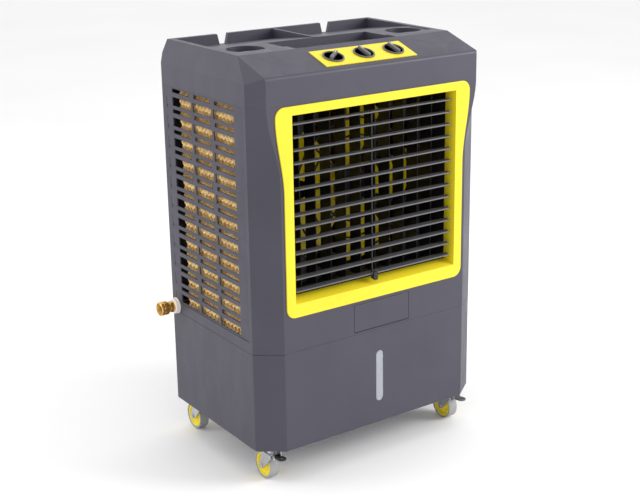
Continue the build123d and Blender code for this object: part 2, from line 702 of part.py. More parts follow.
def bezel_outline():
    low, high = OPEN_LOW - BEZEL_BELOW, OPEN_HIGH + BEZEL_ABOVE
    start, end = high - BEZEL_SWEEP_START, high - BEZEL_SWEEP_END
    sweep = [start + (end - start) * i / SWEEP_STEPS for i in range(SWEEP_STEPS + 1)]
    side = Spline(*[(bezel_half(z), z) for z in sweep], tangents=[(0, 1), (0, 1)])
    edges = [Line((bezel_half(low), low), side @ 0), side, Line(side @ 1, (bezel_half(high), high))]
    edges += [mirror(e, about=Plane.YZ) for e in edges]
    edges += [Line((-bezel_half(low), low), (bezel_half(low), low)),
              Line((-bezel_half(high), high), (bezel_half(high), high))]
    return make_face(edges)


def outlet_bezel():
    front = Plane(origin=(0, BEZEL_FRONT, 0), x_dir=(1, 0, 0), z_dir=(0, -1, 0))
    flange = extrude(front * bezel_outline(), amount=-BEZEL_PROUD)
    corners = flange.edges().filter_by(Axis.Y)
    flange = fillet(corners, BEZEL_CORNER)
    flange = fillet(flange.faces().sort_by(Axis.Y)[0].edges(), BEZEL_EDGE)
    w = BEZEL_WALL

    def opening(half, low, high, y):
        return Pos(0, y, (low + high) / 2) * (Plane.XZ * Rectangle(2 * half, high - low))
    y0, y1 = BEZEL_FRONT, BEZEL_REAR
    duct = loft([opening(OUTLET_HALF + w, OPEN_LOW - w, OPEN_HIGH + w, FRONT_Y - 1),
                 opening(DUCT_HALF + w, DUCT_LOW - w, OPEN_HIGH + w, y1)], ruled=True)
    hole = loft([opening(OUTLET_HALF + 0.1, OPEN_LOW - 0.3, OPEN_HIGH, y0 - 1),
                 opening(DUCT_HALF, DUCT_LOW, OPEN_HIGH, y1)], ruled=True)
    shape = flange + duct - hole
    reach = DUCT_HALF + w + SIDE_FLARE
    for i in range(LOUVRES):
        z = louvre_z(i)
        shape -= rod(PIN_RADIUS + PIN_FIT, (-reach, LOUVRE_Y, z), (reach, LOUVRE_Y, z))
    return shape


def louvre_z(i):
    return OPEN_HIGH - LOUVRE_END_GAP - i * LOUVRE_STEP


def slat(front, chord, nose, tail):
    """Section of a slat: a rounded nose tapering to a thinner rounded tail, drawn in (y, z)."""
    a = Pos(front + nose, 0) * Circle(nose)
    b = Pos(front + chord - tail, 0) * Circle(tail)
    return make_hull(a.edges() + b.edges())


def louvre_half():
    return DUCT_HALF - LOUVRE_SIDE_GAP


def louvre(i):
    """A slat, its end pins and the small pin that crosses its slot for the tie bar."""
    z = louvre_z(i)
    half = louvre_half()
    profile = slat(LOUVRE_FRONT, LOUVRE_CHORD, LOUVRE_NOSE_R, LOUVRE_TAIL_R)
    shape = extrude(Plane.YZ.offset(-half) * Pos(0, z) * profile, amount=2 * half)
    pin = LOUVRE_FRONT + BAR_PIN_BACK
    left, right = BAR_X - BAR_SLOT_HALF_W, BAR_X + BAR_SLOT_HALF_W
    shape -= block(left, right, pin - BAR_SLOT_HALF_L, pin + BAR_SLOT_HALF_L, z - 5, z + 5)
    shape += rod(BAR_PIN_R, (left - 1, pin, z), (right + 1, pin, z))
    shape = Pos(0, LOUVRE_Y, z) * Rot(-LOUVRE_REST, 0, 0) * Pos(0, -LOUVRE_Y, -z) * shape
    tip = DUCT_HALF + BEZEL_WALL
    shape += rod(PIN_RADIUS, (-tip, LOUVRE_Y, z), (-half + PIN_ROOT, LOUVRE_Y, z))
    return shape + rod(PIN_RADIUS, (half - PIN_ROOT, LOUVRE_Y, z), (tip, LOUVRE_Y, z))


def bar_pin(i):
    """The (y, z) of a louvre's tie bar pin at rest."""
    arm = LOUVRE_PIVOT - BAR_PIN_BACK
    return LOUVRE_Y - arm * cos(radians(LOUVRE_REST)), louvre_z(i) + arm * sin(radians(LOUVRE_REST))


def louvre_bar():
    """Tie bar through the slats, with an eye on every pin and a foot that carries the finger tab."""
    y = bar_pin(0)[0]
    half = BAR_WIDTH / 2
    high, low = louvre_z(0) + BAR_ABOVE, louvre_z(LOUVRES - 1) - TAB_DROP
    shape = block(BAR_X - half, BAR_X + half, y - BAR_DEPTH / 2, y + BAR_DEPTH / 2, low, high)
    for i in range(LOUVRES):
        z = bar_pin(i)[1]
        shape += rod(BAR_EYE_R, (BAR_X - half, y, z), (BAR_X + half, y, z))
    for i in range(LOUVRES):
        z = bar_pin(i)[1]
        fit = PIN_FIT if i == MASTER_LOUVRE else BAR_LOOSE_FIT
        shape -= rod(BAR_PIN_R + fit, (BAR_X - 9, y, z), (BAR_X + 9, y, z))
    shape += block(BAR_X - half, BAR_X + half, BEZEL_FRONT + 1, y, low, low + FOOT_HEIGHT)
    tab = block(BAR_X - TAB_WIDTH / 2, BAR_X + TAB_WIDTH / 2, BEZEL_FRONT, BEZEL_FRONT + TAB_DEPTH,
                low, low + TAB_HEIGHT)
    return shape + fillet(tab.edges().filter_by(Axis.Y), TAB_ROUND)


def vane_x(i):
    return (i - (VANES - 1) / 2) * VANE_PITCH


def vane_span():
    return DUCT_LOW + VANE_GAP, OPEN_HIGH - VANE_GAP


def vane_bar_line():
    """Height of the vane tie bar and the y of its pins."""
    return vane_span()[1] - VANE_BAR_DROP, VANE_FRONT + VANE_CHORD - VANE_PIN_INSET


def vane(i):
    x = vane_x(i)
    low, high = vane_span()
    bar_z, pin_y = vane_bar_line()
    notch = VANE_NOTCH_HALF
    slat_face = Pos(x, 0) * Rot(0, 0, 90) * slat(VANE_FRONT, VANE_CHORD, VANE_NOSE_R, VANE_TAIL_R)
    shape = extrude(Plane.XY.offset(low) * slat_face, amount=high - low)
    reach = VANE_EYE_R + VANE_EYE_GAP
    shape -= block(x - reach, x + reach, pin_y - reach, DUCT_REAR + OVERCUT, bar_z - notch, bar_z + notch)
    shape += rod(BAR_PIN_R, (x, pin_y, bar_z - notch - 1), (x, pin_y, bar_z + notch + 1))
    shape += rod(PIN_RADIUS, (x, VANE_Y, low - VANE_GAP - BEZEL_WALL), (x, VANE_Y, low + PIN_ROOT))
    return shape + rod(PIN_RADIUS, (x, VANE_Y, high - PIN_ROOT), (x, VANE_Y, high + VANE_GAP + BEZEL_WALL))


def vane_bar():
    """Tie bar behind the vanes with an eye on every vane's pin."""
    z, pin_y = vane_bar_line()
    back = pin_y + VANE_BAR_BACK
    half = VANE_BAR_WIDTH / 2
    left, right = vane_x(0) - VANE_BAR_END, vane_x(VANES - 1) + VANE_BAR_END
    shape = block(left, right, back, back + VANE_BAR_SHEET, z - half, z + half)
    for i in range(VANES):
        x = vane_x(i)
        shape += rod(VANE_EYE_R, (x, pin_y, z - half), (x, pin_y, z + half))
        shape += block(x - VANE_EYE_R, x + VANE_EYE_R, pin_y, back + 1, z - half, z + half)
    for i in range(VANES):
        fit = PIN_FIT if i == MASTER_VANE else BAR_LOOSE_FIT
        shape -= rod(BAR_PIN_R + fit, (vane_x(i), pin_y, z - 9), (vane_x(i), pin_y, z + 9))
    return shape


# ---------- fan ----------
def fan_shroud():
    """Vane duct, and the orifice plate with inlet ring, front guard rings and the motor's arms."""
    w = BEZEL_WALL
    front, rear = BEZEL_REAR + DUCT_GAP, DUCT_REAR
    duct = block(-DUCT_HALF - w, DUCT_HALF + w, front, rear, DUCT_LOW - w, OPEN_HIGH + w)
    duct -= block(-DUCT_HALF, DUCT_HALF, front - OVERCUT, rear + OVERCUT, DUCT_LOW, OPEN_HIGH)
    for i in range(VANES):
        x = vane_x(i)
        for wall in (DUCT_LOW - w / 2, OPEN_HIGH + w / 2):
            duct -= rod(PIN_RADIUS + PIN_FIT, (x, VANE_Y, wall - w), (x, VANE_Y, wall + w))
    side, low, high = DUCT_HALF + SHROUD_SIDE, DUCT_LOW - SHROUD_EDGE, OPEN_HIGH + SHROUD_EDGE
    plate = block(-side, side, rear, rear + SHROUD_PLATE, low, high)
    radius = FAN_RADIUS + FAN_TIP_GAP
    ring = radius + SHROUD_RING
    arm_y = MOTOR_FRONT - ARM_SETBACK
    plate += rod(ring, (FAN_X, rear, FAN_Z), (FAN_X, arm_y, FAN_Z))
    plate -= rod(radius, (FAN_X, rear - OVERCUT, FAN_Z), (FAN_X, MOTOR_FRONT, FAN_Z))
    y0, y1 = rear + GUARD_SETBACK, rear + SHROUD_PLATE
    for k in range(1, GUARD_RINGS):
        r = radius * k / GUARD_RINGS
        wire = rod(r + GUARD_WIRE, (FAN_X, y0, FAN_Z), (FAN_X, y1, FAN_Z))
        plate += wire - rod(r - GUARD_WIRE, (FAN_X, y0 - OVERCUT, FAN_Z), (FAN_X, y1 + OVERCUT, FAN_Z))
    for k in range(ARMS):
        turn = Pos(FAN_X, 0, FAN_Z) * Rot(0, (k + 0.5) * 360 / ARMS, 0)
        plate += turn * block(radius / GUARD_RINGS, radius + 1, y0, y1, -GUARD_WIRE, GUARD_WIRE)
        plate += turn * block(MOTOR_RADIUS, ring, arm_y, arm_y + ARM_DEPTH, -ARM_HALF, ARM_HALF)
        plate += turn * block(radius, ring, arm_y - ARM_SETBACK, arm_y + ARM_DEPTH, -ARM_HALF, ARM_HALF)
    back = arm_y + MOTOR_RING_DEPTH
    holder = rod(MOTOR_RADIUS + MOTOR_RING, (FAN_X, arm_y, FAN_Z), (FAN_X, back, FAN_Z))
    bore = MOTOR_RADIUS + MOTOR_RING_FIT
    plate += holder - rod(bore, (FAN_X, arm_y - OVERCUT, FAN_Z), (FAN_X, back + OVERCUT, FAN_Z))
    return duct, plate


def blade():
    """One pitched blade, standing up from the hub along +Z, its width along Y."""
    mid = FAN_FRONT + FAN_DEPTH / 2
    sections = []
    stations = [(FAN_HUB - HUB_WALL, BLADE_ROOT_CHORD, BLADE_ROOT_PITCH),
                (FAN_RADIUS * BLADE_MID_PLACE, BLADE_MID_CHORD, BLADE_MID_PITCH),
                (FAN_RADIUS - 1, BLADE_TIP_CHORD, BLADE_TIP_PITCH)]
    for r, chord, pitch in stations:
        place = Plane(origin=(0, mid, r), x_dir=(1, 0, 0), z_dir=(0, 0, 1))
        sections.append(place * Rot(0, 0, 90 - pitch) * Rectangle(chord, BLADE_THICK))
    shape = loft(sections)
    return shape & rod(FAN_RADIUS, (0, FAN_FRONT, 0), (0, FAN_FRONT + FAN_DEPTH, 0))


def fan_rotor():
    hub = rod(FAN_HUB, (0, FAN_FRONT, 0), (0, FAN_FRONT + FAN_DEPTH, 0))
    hub = fillet(hub.edges().sort_by(Axis.Y)[0], HUB_ROUND)
    face = FAN_FRONT + HUB_FACE
    hub -= rod(FAN_HUB - HUB_WALL, (0, face, 0), (0, FAN_FRONT + FAN_DEPTH + OVERCUT, 0))
    shape = hub + rod(SHAFT_BOSS_R, (0, face - 1, 0), (0, FAN_FRONT + FAN_DEPTH, 0))
    shape += rod(SHAFT_RADIUS, (0, face, 0), (0, MOTOR_FRONT + SHAFT_REACH, 0))
    vane_shape = blade()
    for k in range(FAN_BLADES):
        shape += Rot(0, 90 + 360 * k / FAN_BLADES, 0) * vane_shape
    return Pos(FAN_X, 0, FAN_Z) * shape


def fan_motor():
    y0, y1 = MOTOR_FRONT, MOTOR_FRONT + MOTOR_LENGTH
    shape = rod(MOTOR_RADIUS, (FAN_X, y0, FAN_Z), (FAN_X, y1, FAN_Z))
    shape = fillet(shape.edges(), MOTOR_ROUND)
    deep = y0 + SHAFT_REACH + OVERCUT
    return shape - rod(SHAFT_RADIUS + SHAFT_FIT, (FAN_X, y0 - OVERCUT, FAN_Z), (FAN_X, deep, FAN_Z))


def swing_motor():
    """Gearmotor on the duct's roof, in line with the driven vane's top pin."""
    x, low = vane_x(MASTER_VANE), OPEN_HIGH + BEZEL_WALL
    foot = low + SWING_GAP
    shape = rod(SWING_RADIUS, (x, VANE_Y, foot + 1), (x, VANE_Y, low + SWING_HEIGHT))
    shape += block(x - SWING_EAR, x + SWING_EAR, VANE_Y - SWING_EAR_HALF, VANE_Y + SWING_EAR_HALF,
                   foot, foot + SWING_SHEET)
    return shape - rod(PIN_RADIUS + 1, (x, VANE_Y, low - OVERCUT), (x, VANE_Y, low + PIN_ROOT))


# ---------- grilles and pads ----------
def board_line(row):
    """Height of a row's step, which runs under its tall slot."""
    return GRILLE_HIGH - GRILLE_HEADER - row * ROW_PITCH - THIN_SLOT - THIN_BAR - TALL_SLOT


def slot_boxes(front, rear):
    """The slots of one grille as (u0, u1, z0, z1), u running along the wall."""
    third = (rear - front) / 3
    boxes = []
    for row in range(SLOT_ROWS):
        low = board_line(row)
        high = low + TALL_SLOT + THIN_BAR
        for rib, z0, z1 in ((RIB_WIDTH, low, low + TALL_SLOT), (THIN_RIB_WIDTH, high, high + THIN_SLOT)):
            for k in range(3):
                u0 = front + k * third + (rib / 2 if k else 0)
                u1 = front + (k + 1) * third - (rib / 2 if k < 2 else 0)
                boxes.append((u0, u1, z0, z1))
    return boxes


def grille(length, slot_start, slot_end, step_start, step_end):
    """A grille lying along +Y from y = 0, its outer face towards -X at x = 0."""
    gap = GRILLE_GAP
    shape = block(0, WALL, gap, length - gap, GRILLE_LOW + gap, GRILLE_HIGH - gap)
    slots = slot_boxes(slot_start, slot_end)
    cuts = [block(-OVERCUT, WALL + OVERCUT, u0, u1, z0, z1) for u0, u1, z0, z1 in slots]
    for row in range(SLOT_ROWS):
        line = board_line(row)
        step = [(-1, line), (CLAP_STEP, line), (0, line - CLAP_RUN), (-1, line - CLAP_RUN)]
        cuts.append(along_y(step, step_start, step_end))
        cuts.append(block(-1, CLAP_STEP, step_end - CLAP_END, step_end, line, line + TALL_SLOT))
    return shape - cuts


def intake_grilles():
    y0, y1 = grille_span()
    length = y1 - y0
    side = grille(length, SLOT_FRONT_INSET, length - SLOT_REAR_INSET,
                  CLAP_FRONT_INSET, length - CLAP_REAR_INSET)
    left = Pos(-HALF_W, y0, 0) * side
    half = HALF_W - REAR_CORNER - GRILLE_REAR
    rear = grille(2 * half, SLOT_REAR_INSET, 2 * half - SLOT_REAR_INSET, CLAP_REAR_INSET,
                  2 * half - CLAP_REAR_INSET)
    rear = Pos(-half, HALF_D, 0) * Rot(0, 0, -90) * rear
    return left, mirrored(left), rear


def pad_boxes():
    y0, y1 = grille_span()
    outer = HALF_W - WALL - PAD_GAP
    side = (outer - PAD_THICK, outer, y0 + 1, y1 - PAD_END_GAP)
    rear_outer = HALF_D - WALL - PAD_GAP + 1
    end = outer - PAD_THICK - PAD_CORNER_GAP
    return side, (-end, end, rear_outer - PAD_THICK, rear_outer)


def cooling_pads():
    side, rear = pad_boxes()
    z0, z1 = GRILLE_LOW, CABINET_TOP - PAD_TOP_GAP
    right = block(side[0], side[1], side[2], side[3], z0, z1)
    return right, mirrored(right), block(*rear, z0, z1)


# ---------- water side ----------
def float_valve():
    """Valve body with its threaded tail through the wall, the gasket and the white nut."""
    def ring(radius, start, end):
        return rod(radius, (-HALF_W + start, INLET_Y, INLET_Z), (-HALF_W + end, INLET_Y, INLET_Z))
    nut_face = -GASKET_THICK - NUT_LENGTH
    tail = ring(INLET_RADIUS, nut_face, VALVE_REACH)
    collar = WALL + GRILLE_GAP
    tail += ring(INLET_RADIUS + VALVE_COLLAR, collar, collar + VALVE_COLLAR_LENGTH)
    x, z = float_pivot()
    tail += block(x - YOKE_HALF - 2, x + YOKE_HALF, INLET_Y - YOKE_HALF, INLET_Y + YOKE_HALF, z - 5, INLET_Z)
    tail -= block(x - YOKE_HALF, x + YOKE_HALF + 2, INLET_Y - YOKE_SLOT_HALF, INLET_Y + YOKE_SLOT_HALF,
                  z - YOKE_HALF, z + YOKE_HALF)
    tail -= rod(FLOAT_PIN_R + FLOAT_PIN_FIT, (x, INLET_Y - 2 * YOKE_HALF, z), (x, INLET_Y + 2 * YOKE_HALF, z))
    bore = ring(INLET_RADIUS + NUT_FIT, nut_face - OVERCUT, OVERCUT)
    gasket = ring(GASKET_RADIUS, -GASKET_THICK, 0) - bore
    nut = chamfer(ring(NUT_RADIUS, nut_face, -GASKET_THICK).edges().sort_by(Axis.X)[0], NUT_EDGE)
    return tail, gasket, nut - bore


def float_pivot():
    return -HALF_W + FLOAT_PIVOT_X, INLET_Z - FLOAT_PIVOT_DROP


def float_arm():
    """Arm, pin and ball float, hanging from the valve as in an empty tank."""
    x, z = float_pivot()
    dx, dz = cos(radians(FLOAT_HANG)), -sin(radians(FLOAT_HANG))
    end = (x + FLOAT_ARM * dx, INLET_Y, z + FLOAT_ARM * dz)
    shape = rod(FLOAT_PIN_R, (x, INLET_Y - YOKE_HALF, z), (x, INLET_Y + YOKE_HALF, z))
    shape += rod(FLOAT_EYE_R, (x, INLET_Y - FLOAT_EYE_HALF, z), (x, INLET_Y + FLOAT_EYE_HALF, z))
    shape += rod(FLOAT_ROD_R, (x, INLET_Y, z), end)
    return shape + Pos(*end) * Sphere(FLOAT_RADIUS)


def hose_connector():
    """Brass connector: hexagonal collar, waist, and a swivel socket with a bored mouth."""
    x = -HALF_W - GASKET_THICK - NUT_LENGTH

    def ring(radius, start, end):
        return rod(radius, (x - start, INLET_Y, INLET_Z), (x - end, INLET_Y, INLET_Z))
    collar = Plane(origin=(x, INLET_Y, INLET_Z), z_dir=(-1, 0, 0)) * RegularPolygon(COLLAR_RADIUS, 6)
    shape = extrude(collar, amount=COLLAR_LENGTH)
    shape += ring(WAIST_RADIUS, COLLAR_LENGTH - 1, SOCKET_START + SOCKET_ROUND)
    shape += fillet(ring(SOCKET_RADIUS, SOCKET_START, HOSE_LENGTH).edges(), SOCKET_ROUND)
    shape -= ring(SOCKET_BORE, HOSE_LENGTH - SOCKET_DEPTH, HOSE_LENGTH + OVERCUT)
    return shape - ring(HOSE_BORE, GASKET_THICK, HOSE_LENGTH)


def pump_top():
    return TANK_BOTTOM + WALL + PUMP_GAP + PUMP_HEIGHT


def pump():
    """Submersible pump standing in the tank under the riser, with its outlet spigot."""
    x, y = riser_xy()
    half = PUMP_SIZE / 2
    cx, cy = x - PUMP_OFFSET, y - PUMP_OFFSET
    shape = block(cx - half, cx + half, cy - half, cy + half, TANK_BOTTOM + WALL + PUMP_GAP, pump_top())
    shape = fillet(shape.edges().filter_by(Axis.Z), PUMP_ROUND)
    return shape + rod(SPIGOT_RADIUS, (x, y, pump_top() - 1), (x, y, pump_top() + SPIGOT_HEIGHT))


def riser_xy():
    side, rear = pad_boxes()
    return side[0] - RISER_RADIUS - RISER_SIDE_GAP, rear[2] - RISER_RADIUS - RISER_REAR_GAP


def water_feed():
    """Riser hose from the pump and the trough that drips onto the three pads."""
    side, rear = pad_boxes()
    x, y = riser_xy()
    low, high = CABINET_TOP - TROUGH_SINK, CABINET_TOP + TROUGH_HEIGHT
    outer, back = side[1] - TROUGH_SIDE_INSET, rear[3] - TROUGH_REAR_INSET

    def channels(z0, z1, shrink):
        right, y1 = outer - shrink, back - shrink
        arms = block(side[0] + shrink, right, side[2] + shrink, y1, z0, z1)
        return arms + mirrored(arms) + block(-right, right, rear[2] + shrink, y1, z0, z1)
    shape = channels(low, high, 0)
    shape -= channels(low + TROUGH_WALL, high + OVERCUT, TROUGH_WALL)
    shape += block(x - RISER_PAD, side[0] + 1, y - RISER_PAD, y + RISER_PAD, low, low + TROUGH_WALL)
    return shape + rod(RISER_RADIUS, (x, y, pump_top() + SPIGOT_HEIGHT + PUMP_GAP), (x, y, low + 1))


# ---------- casters ----------
def caster_plate(x, y):
    half = CASTER_PLATE / 2
    shape = block(x - half, x + half, y - half, y + half, TANK_BOTTOM - PLATE_SHEET, TANK_BOTTOM)
    shape = fillet(shape.edges().filter_by(Axis.Z), CASTER_PLATE_ROUND)
    shape += rod(CASTER_BOSS_R, (x, y, BOSS_LOW), (x, y, TANK_BOTTOM - 1))
    shape -= rod(KINGPIN + KINGPIN_FIT, (x, y, BOSS_LOW - OVERCUT), (x, y, TANK_BOTTOM + OVERCUT))
    for sx, sy in screw_centres():
        shape -= rod(SCREW_HOLE, (sx, sy, BOSS_LOW), (sx, sy, TANK_BOTTOM + OVERCUT))
    return shape


def screws():
    low = TANK_BOTTOM - PLATE_SHEET
    screw = rod(SCREW_HEAD, (0, 0, low - SCREW_HEAD_HEIGHT), (0, 0, low))
    screw += rod(SCREW_RADIUS, (0, 0, low - 1), (0, 0, TANK_BOTTOM + SCREW_DEPTH - 1))
    return [Pos(x, y, 0) * screw for x, y in screw_centres()]


def caster_fork(x, y, with_ears):
    """Crown and kingpin, two side legs to the axle, and on the front casters the pedal's ears."""
    inner, outer = FORK_HALF, FORK_HALF + FORK_SHEET
    top = CROWN_LOW + FORK_SHEET
    crown = block(-outer, outer, -CROWN_FRONT, CROWN_BACK, CROWN_LOW, top)
    end, foot = 2 * AXLE_RADIUS + 1, WHEEL_RADIUS - 2 * AXLE_RADIUS + 1
    leg = [(-CROWN_FRONT, top), (-CROWN_FRONT, CROWN_LOW - EAR_DROP), (TRAIL - end, foot + AXLE_RADIUS),
           (TRAIL - AXLE_RADIUS, foot), (TRAIL + AXLE_RADIUS, foot), (TRAIL + end, foot + AXLE_RADIUS),
           (CROWN_BACK, top)]
    shape = crown + across(leg, inner, outer) + across(leg, -outer, -inner)
    shape += rod(BEARING_RADIUS, (0, 0, CROWN_LOW), (0, 0, BOSS_LOW - BEARING_GAP))
    shape += rod(KINGPIN, (0, 0, CROWN_LOW), (0, 0, TANK_BOTTOM - BEARING_GAP))
    tip = outer + AXLE_END
    shape += rod(AXLE_RADIUS, (-tip, TRAIL, WHEEL_RADIUS), (tip, TRAIL, WHEEL_RADIUS))
    if with_ears:
        near, far, low = -CROWN_FRONT + FORK_SHEET, -PEDAL_BACK - 2 * PEDAL_PIN, CROWN_LOW - EAR_DROP
        ear = [(near, top), (near, low), (far, low), (far, top)]
        shape += across(ear, EAR_IN, EAR_OUT) + across(ear, -EAR_OUT, -EAR_IN)
        z = CROWN_LOW - PEDAL_PIN_DROP
        shape += rod(PEDAL_PIN, (-EAR_OUT, -PEDAL_BACK, z), (EAR_OUT, -PEDAL_BACK, z))
    return Pos(x, y, 0) * shape


def caster_wheel(x, y):
    """Hub disc and tread, drawn about the axle."""
    half = WHEEL_WIDTH / 2
    rim = WHEEL_RADIUS - TREAD

    def disc(radius, width):
        return rod(radius, (-width, 0, 0), (width, 0, 0))
    hub = disc(rim, half - RIM_INSET) - disc(rim - RIM_WALL, half + OVERCUT)
    hub += disc(rim - RIM_WALL + 1, WEB_HALF)
    hub += disc(HUB_BOSS_R, half - HUB_BOSS_GAP)
    hub -= disc(AXLE_RADIUS + AXLE_FIT, half + OVERCUT)
    tread = fillet(disc(WHEEL_RADIUS, half).edges(), TREAD_ROUND) - disc(rim, half + OVERCUT)
    place = Pos(x, y + TRAIL, WHEEL_RADIUS)
    return place * hub, place * tread


def brake_pedal(x, y):
    """Looped foot pedal on its pin, tipped up when released."""
    length, width, hub = PEDAL_LENGTH, PEDAL_WIDTH, PEDAL_HUB_HALF
    t = PEDAL_HALF_THICK
    loop = Pos(0, -length / 2 - PEDAL_HUB_R, 0) * (Rot(0, 0, 90) * SlotOverall(length, width))
    window = Pos(0, -length / 2 - PEDAL_HUB_R - 2, 0) * (Rot(0, 0, 90) * SlotOverall(length - 12, width - 11))
    shape = extrude(loop - window, amount=t, both=True)
    shape -= block(-width, width, -PEDAL_HUB_R - 2, length, -2 * t, 2 * t)
    shape += block(-hub, hub, -2 * PEDAL_HUB_R - 1, 0, -t, t)
    shape += rod(PEDAL_HUB_R, (-hub, 0, 0), (hub, 0, 0))
    shape -= rod(PEDAL_PIN + AXLE_FIT, (-width, 0, 0), (width, 0, 0))
    return Pos(x, y - PEDAL_BACK, CROWN_LOW - PEDAL_PIN_DROP) * Rot(-PEDAL_TILT, 0, 0) * shape


# ---------- write the nodes ----------
os.makedirs("parts", exist_ok=True)
save("base_tank", base_tank())
save("level_window", *level_window())
save("drain_plug", drain_plug())
save("cabinet", cabinet())
save("fill_door", fill_door())
save("top_cover", top_cover())
save("control_plate", control_plate())
for name, knob_x, knob_turn in knob_places():
    save(name, knob(knob_x, knob_turn))
save("outlet_bezel", outlet_bezel())
for number in range(LOUVRES):
    save(f"louvre_{number + 1:02d}", louvre(number))
save("louvre_bar", louvre_bar())
for number in range(VANES):
    save(f"vane_{number + 1:02d}", vane(number))
save("vane_bar", vane_bar())
save("fan_shroud", *fan_shroud())
save("fan_rotor", fan_rotor())
save("fan_motor", fan_motor())
save("swing_motor", swing_motor())
save("intake_grilles", *intake_grilles())
save("cooling_pads", *cooling_pads())
save("float_valve", *float_valve())
save("float_arm", float_arm())
save("hose_connector", hose_connector())
save("pump", pump())
save("water_feed", water_feed())
save("caster_plates", *[caster_plate(x, y) for x, y in caster_centres()])
save("screws", *screws())
for (x, y), corner in zip(caster_centres(), ("front_left", "front_right", "rear_left", "rear_right")):
    front_pair = y < 0
    save(f"caster_fork_{corner}", caster_fork(x, y, front_pair))
    save(f"caster_wheel_{corner}", *caster_wheel(x, y))
    if front_pair:
        save(f"brake_pedal_{corner}", brake_pedal(x, y))
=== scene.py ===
import json
import math
import random

import bpy
from mathutils import Matrix, Vector


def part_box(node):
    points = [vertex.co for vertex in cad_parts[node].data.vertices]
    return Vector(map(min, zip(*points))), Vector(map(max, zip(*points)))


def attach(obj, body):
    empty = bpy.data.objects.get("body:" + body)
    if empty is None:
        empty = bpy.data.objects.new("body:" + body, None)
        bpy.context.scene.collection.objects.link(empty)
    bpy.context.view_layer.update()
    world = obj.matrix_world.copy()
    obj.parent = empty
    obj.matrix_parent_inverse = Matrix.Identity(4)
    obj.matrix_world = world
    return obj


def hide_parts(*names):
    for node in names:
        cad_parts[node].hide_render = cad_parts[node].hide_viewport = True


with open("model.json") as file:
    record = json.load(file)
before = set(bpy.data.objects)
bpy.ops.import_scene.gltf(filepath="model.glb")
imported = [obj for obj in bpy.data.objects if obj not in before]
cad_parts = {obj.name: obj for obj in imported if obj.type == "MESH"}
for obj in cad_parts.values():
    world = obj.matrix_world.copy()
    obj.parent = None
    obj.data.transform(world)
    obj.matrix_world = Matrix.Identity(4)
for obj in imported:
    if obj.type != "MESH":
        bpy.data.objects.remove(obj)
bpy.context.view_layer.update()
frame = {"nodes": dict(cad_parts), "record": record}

NODES = frame["nodes"]
CORNERS = ("front_left", "front_right", "rear_left", "rear_right")


# ---------- materials ----------
EDGE_DOT = 0.8
METAL_EDGE = 0.0006
RUBBER_EDGE = 0.0009
CLEAR_EDGE = 0.0008
PLASTIC_IOR = 1.46
CLEAR_IOR = 1.49


def linear(r, g, b):
    """sRGB bytes as scene-linear RGBA."""
    def channel(v):
        v /= 255
        return v / 12.92 if v <= 0.04045 else ((v + 0.055) / 1.055) ** 2.4
    return channel(r), channel(g), channel(b), 1.0


class Graph:
    """A small builder for one Principled material's node tree."""

    def __init__(self, name, roughness, metallic=0.0):
        self.material = bpy.data.materials.new(name)
        self.material.use_nodes = True
        self.nodes = self.material.node_tree.nodes
        self.links = self.material.node_tree.links
        self.shader = self.nodes["Principled BSDF"]
        self.shader.inputs["Roughness"].default_value = roughness
        self.shader.inputs["Metallic"].default_value = metallic
        self.coords = self.nodes.new("ShaderNodeTexCoord").outputs["Object"]

    def node(self, kind, links=(), **values):
        made = self.nodes.new(kind)
        for key, value in values.items():
            setattr(made, key, value)
        for socket, source in links:
            if hasattr(source, "is_output"):
                self.links.new(source, made.inputs[socket])
            else:
                made.inputs[socket].default_value = source
        return made

    def stretch(self, x, y, z):
        """Object coordinates scaled per axis, for lines and streaks."""
        return self.node("ShaderNodeMapping", [("Vector", self.coords), ("Scale", (x, y, z))]).outputs[0]

    def noise(self, scale, detail=2.0, coords=None, rough=0.5):
        made = self.node("ShaderNodeTexNoise", [("Vector", coords or self.coords), ("Scale", scale),
                                                ("Detail", detail), ("Roughness", rough)])
        return made.outputs["Fac"]

    def cells(self, scale):
        made = self.node("ShaderNodeTexVoronoi", [("Vector", self.coords), ("Scale", scale)])
        return made.outputs["Distance"]

    def ramp(self, value, low, high, start, end):
        """Map value from low..high onto start..end, clamped."""
        return self.node("ShaderNodeMapRange", [("Value", value), ("From Min", low), ("From Max", high),
                                                ("To Min", start), ("To Max", end)]).outputs[0]

    def math(self, operation, a, b):
        return self.node("ShaderNodeMath", [(0, a), (1, b)], operation=operation).outputs[0]

    def mix(self, factor, a, b):
        return self.node("ShaderNodeMix", [(0, factor), (6, a), (7, b)], data_type="RGBA").outputs[2]

    def edges(self, radius):
        """(rounded normal, mask that is 1 on convex and concave edges)."""
        soft = self.node("ShaderNodeBevel", [("Radius", radius)], samples=4).outputs[0]
        true = self.node("ShaderNodeNewGeometry").outputs["True Normal"]
        dot = self.node("ShaderNodeVectorMath", [(0, soft), (1, true)], operation="DOT_PRODUCT")
        return soft, self.ramp(dot.outputs["Value"], 1.0, EDGE_DOT, 0.0, 1.0)

    def bump(self, height, strength, distance, normal=None):
        made = self.node("ShaderNodeBump", [("Height", height), ("Strength", strength),
                                            ("Distance", distance)])
        if normal is not None:
            self.links.new(normal, made.inputs["Normal"])
        return made.outputs[0]

    def finish(self, **sockets):
        names = {"color": "Base Color", "roughness": "Roughness", "normal": "Normal"}
        for key, source in sockets.items():
            self.links.new(source, self.shader.inputs[names[key]])
        return self.material


def shade(color, factor):
    """A colour made darker or lighter, never past white."""
    return tuple(min(1.0, c * factor) for c in color[:3]) + (1.0,)


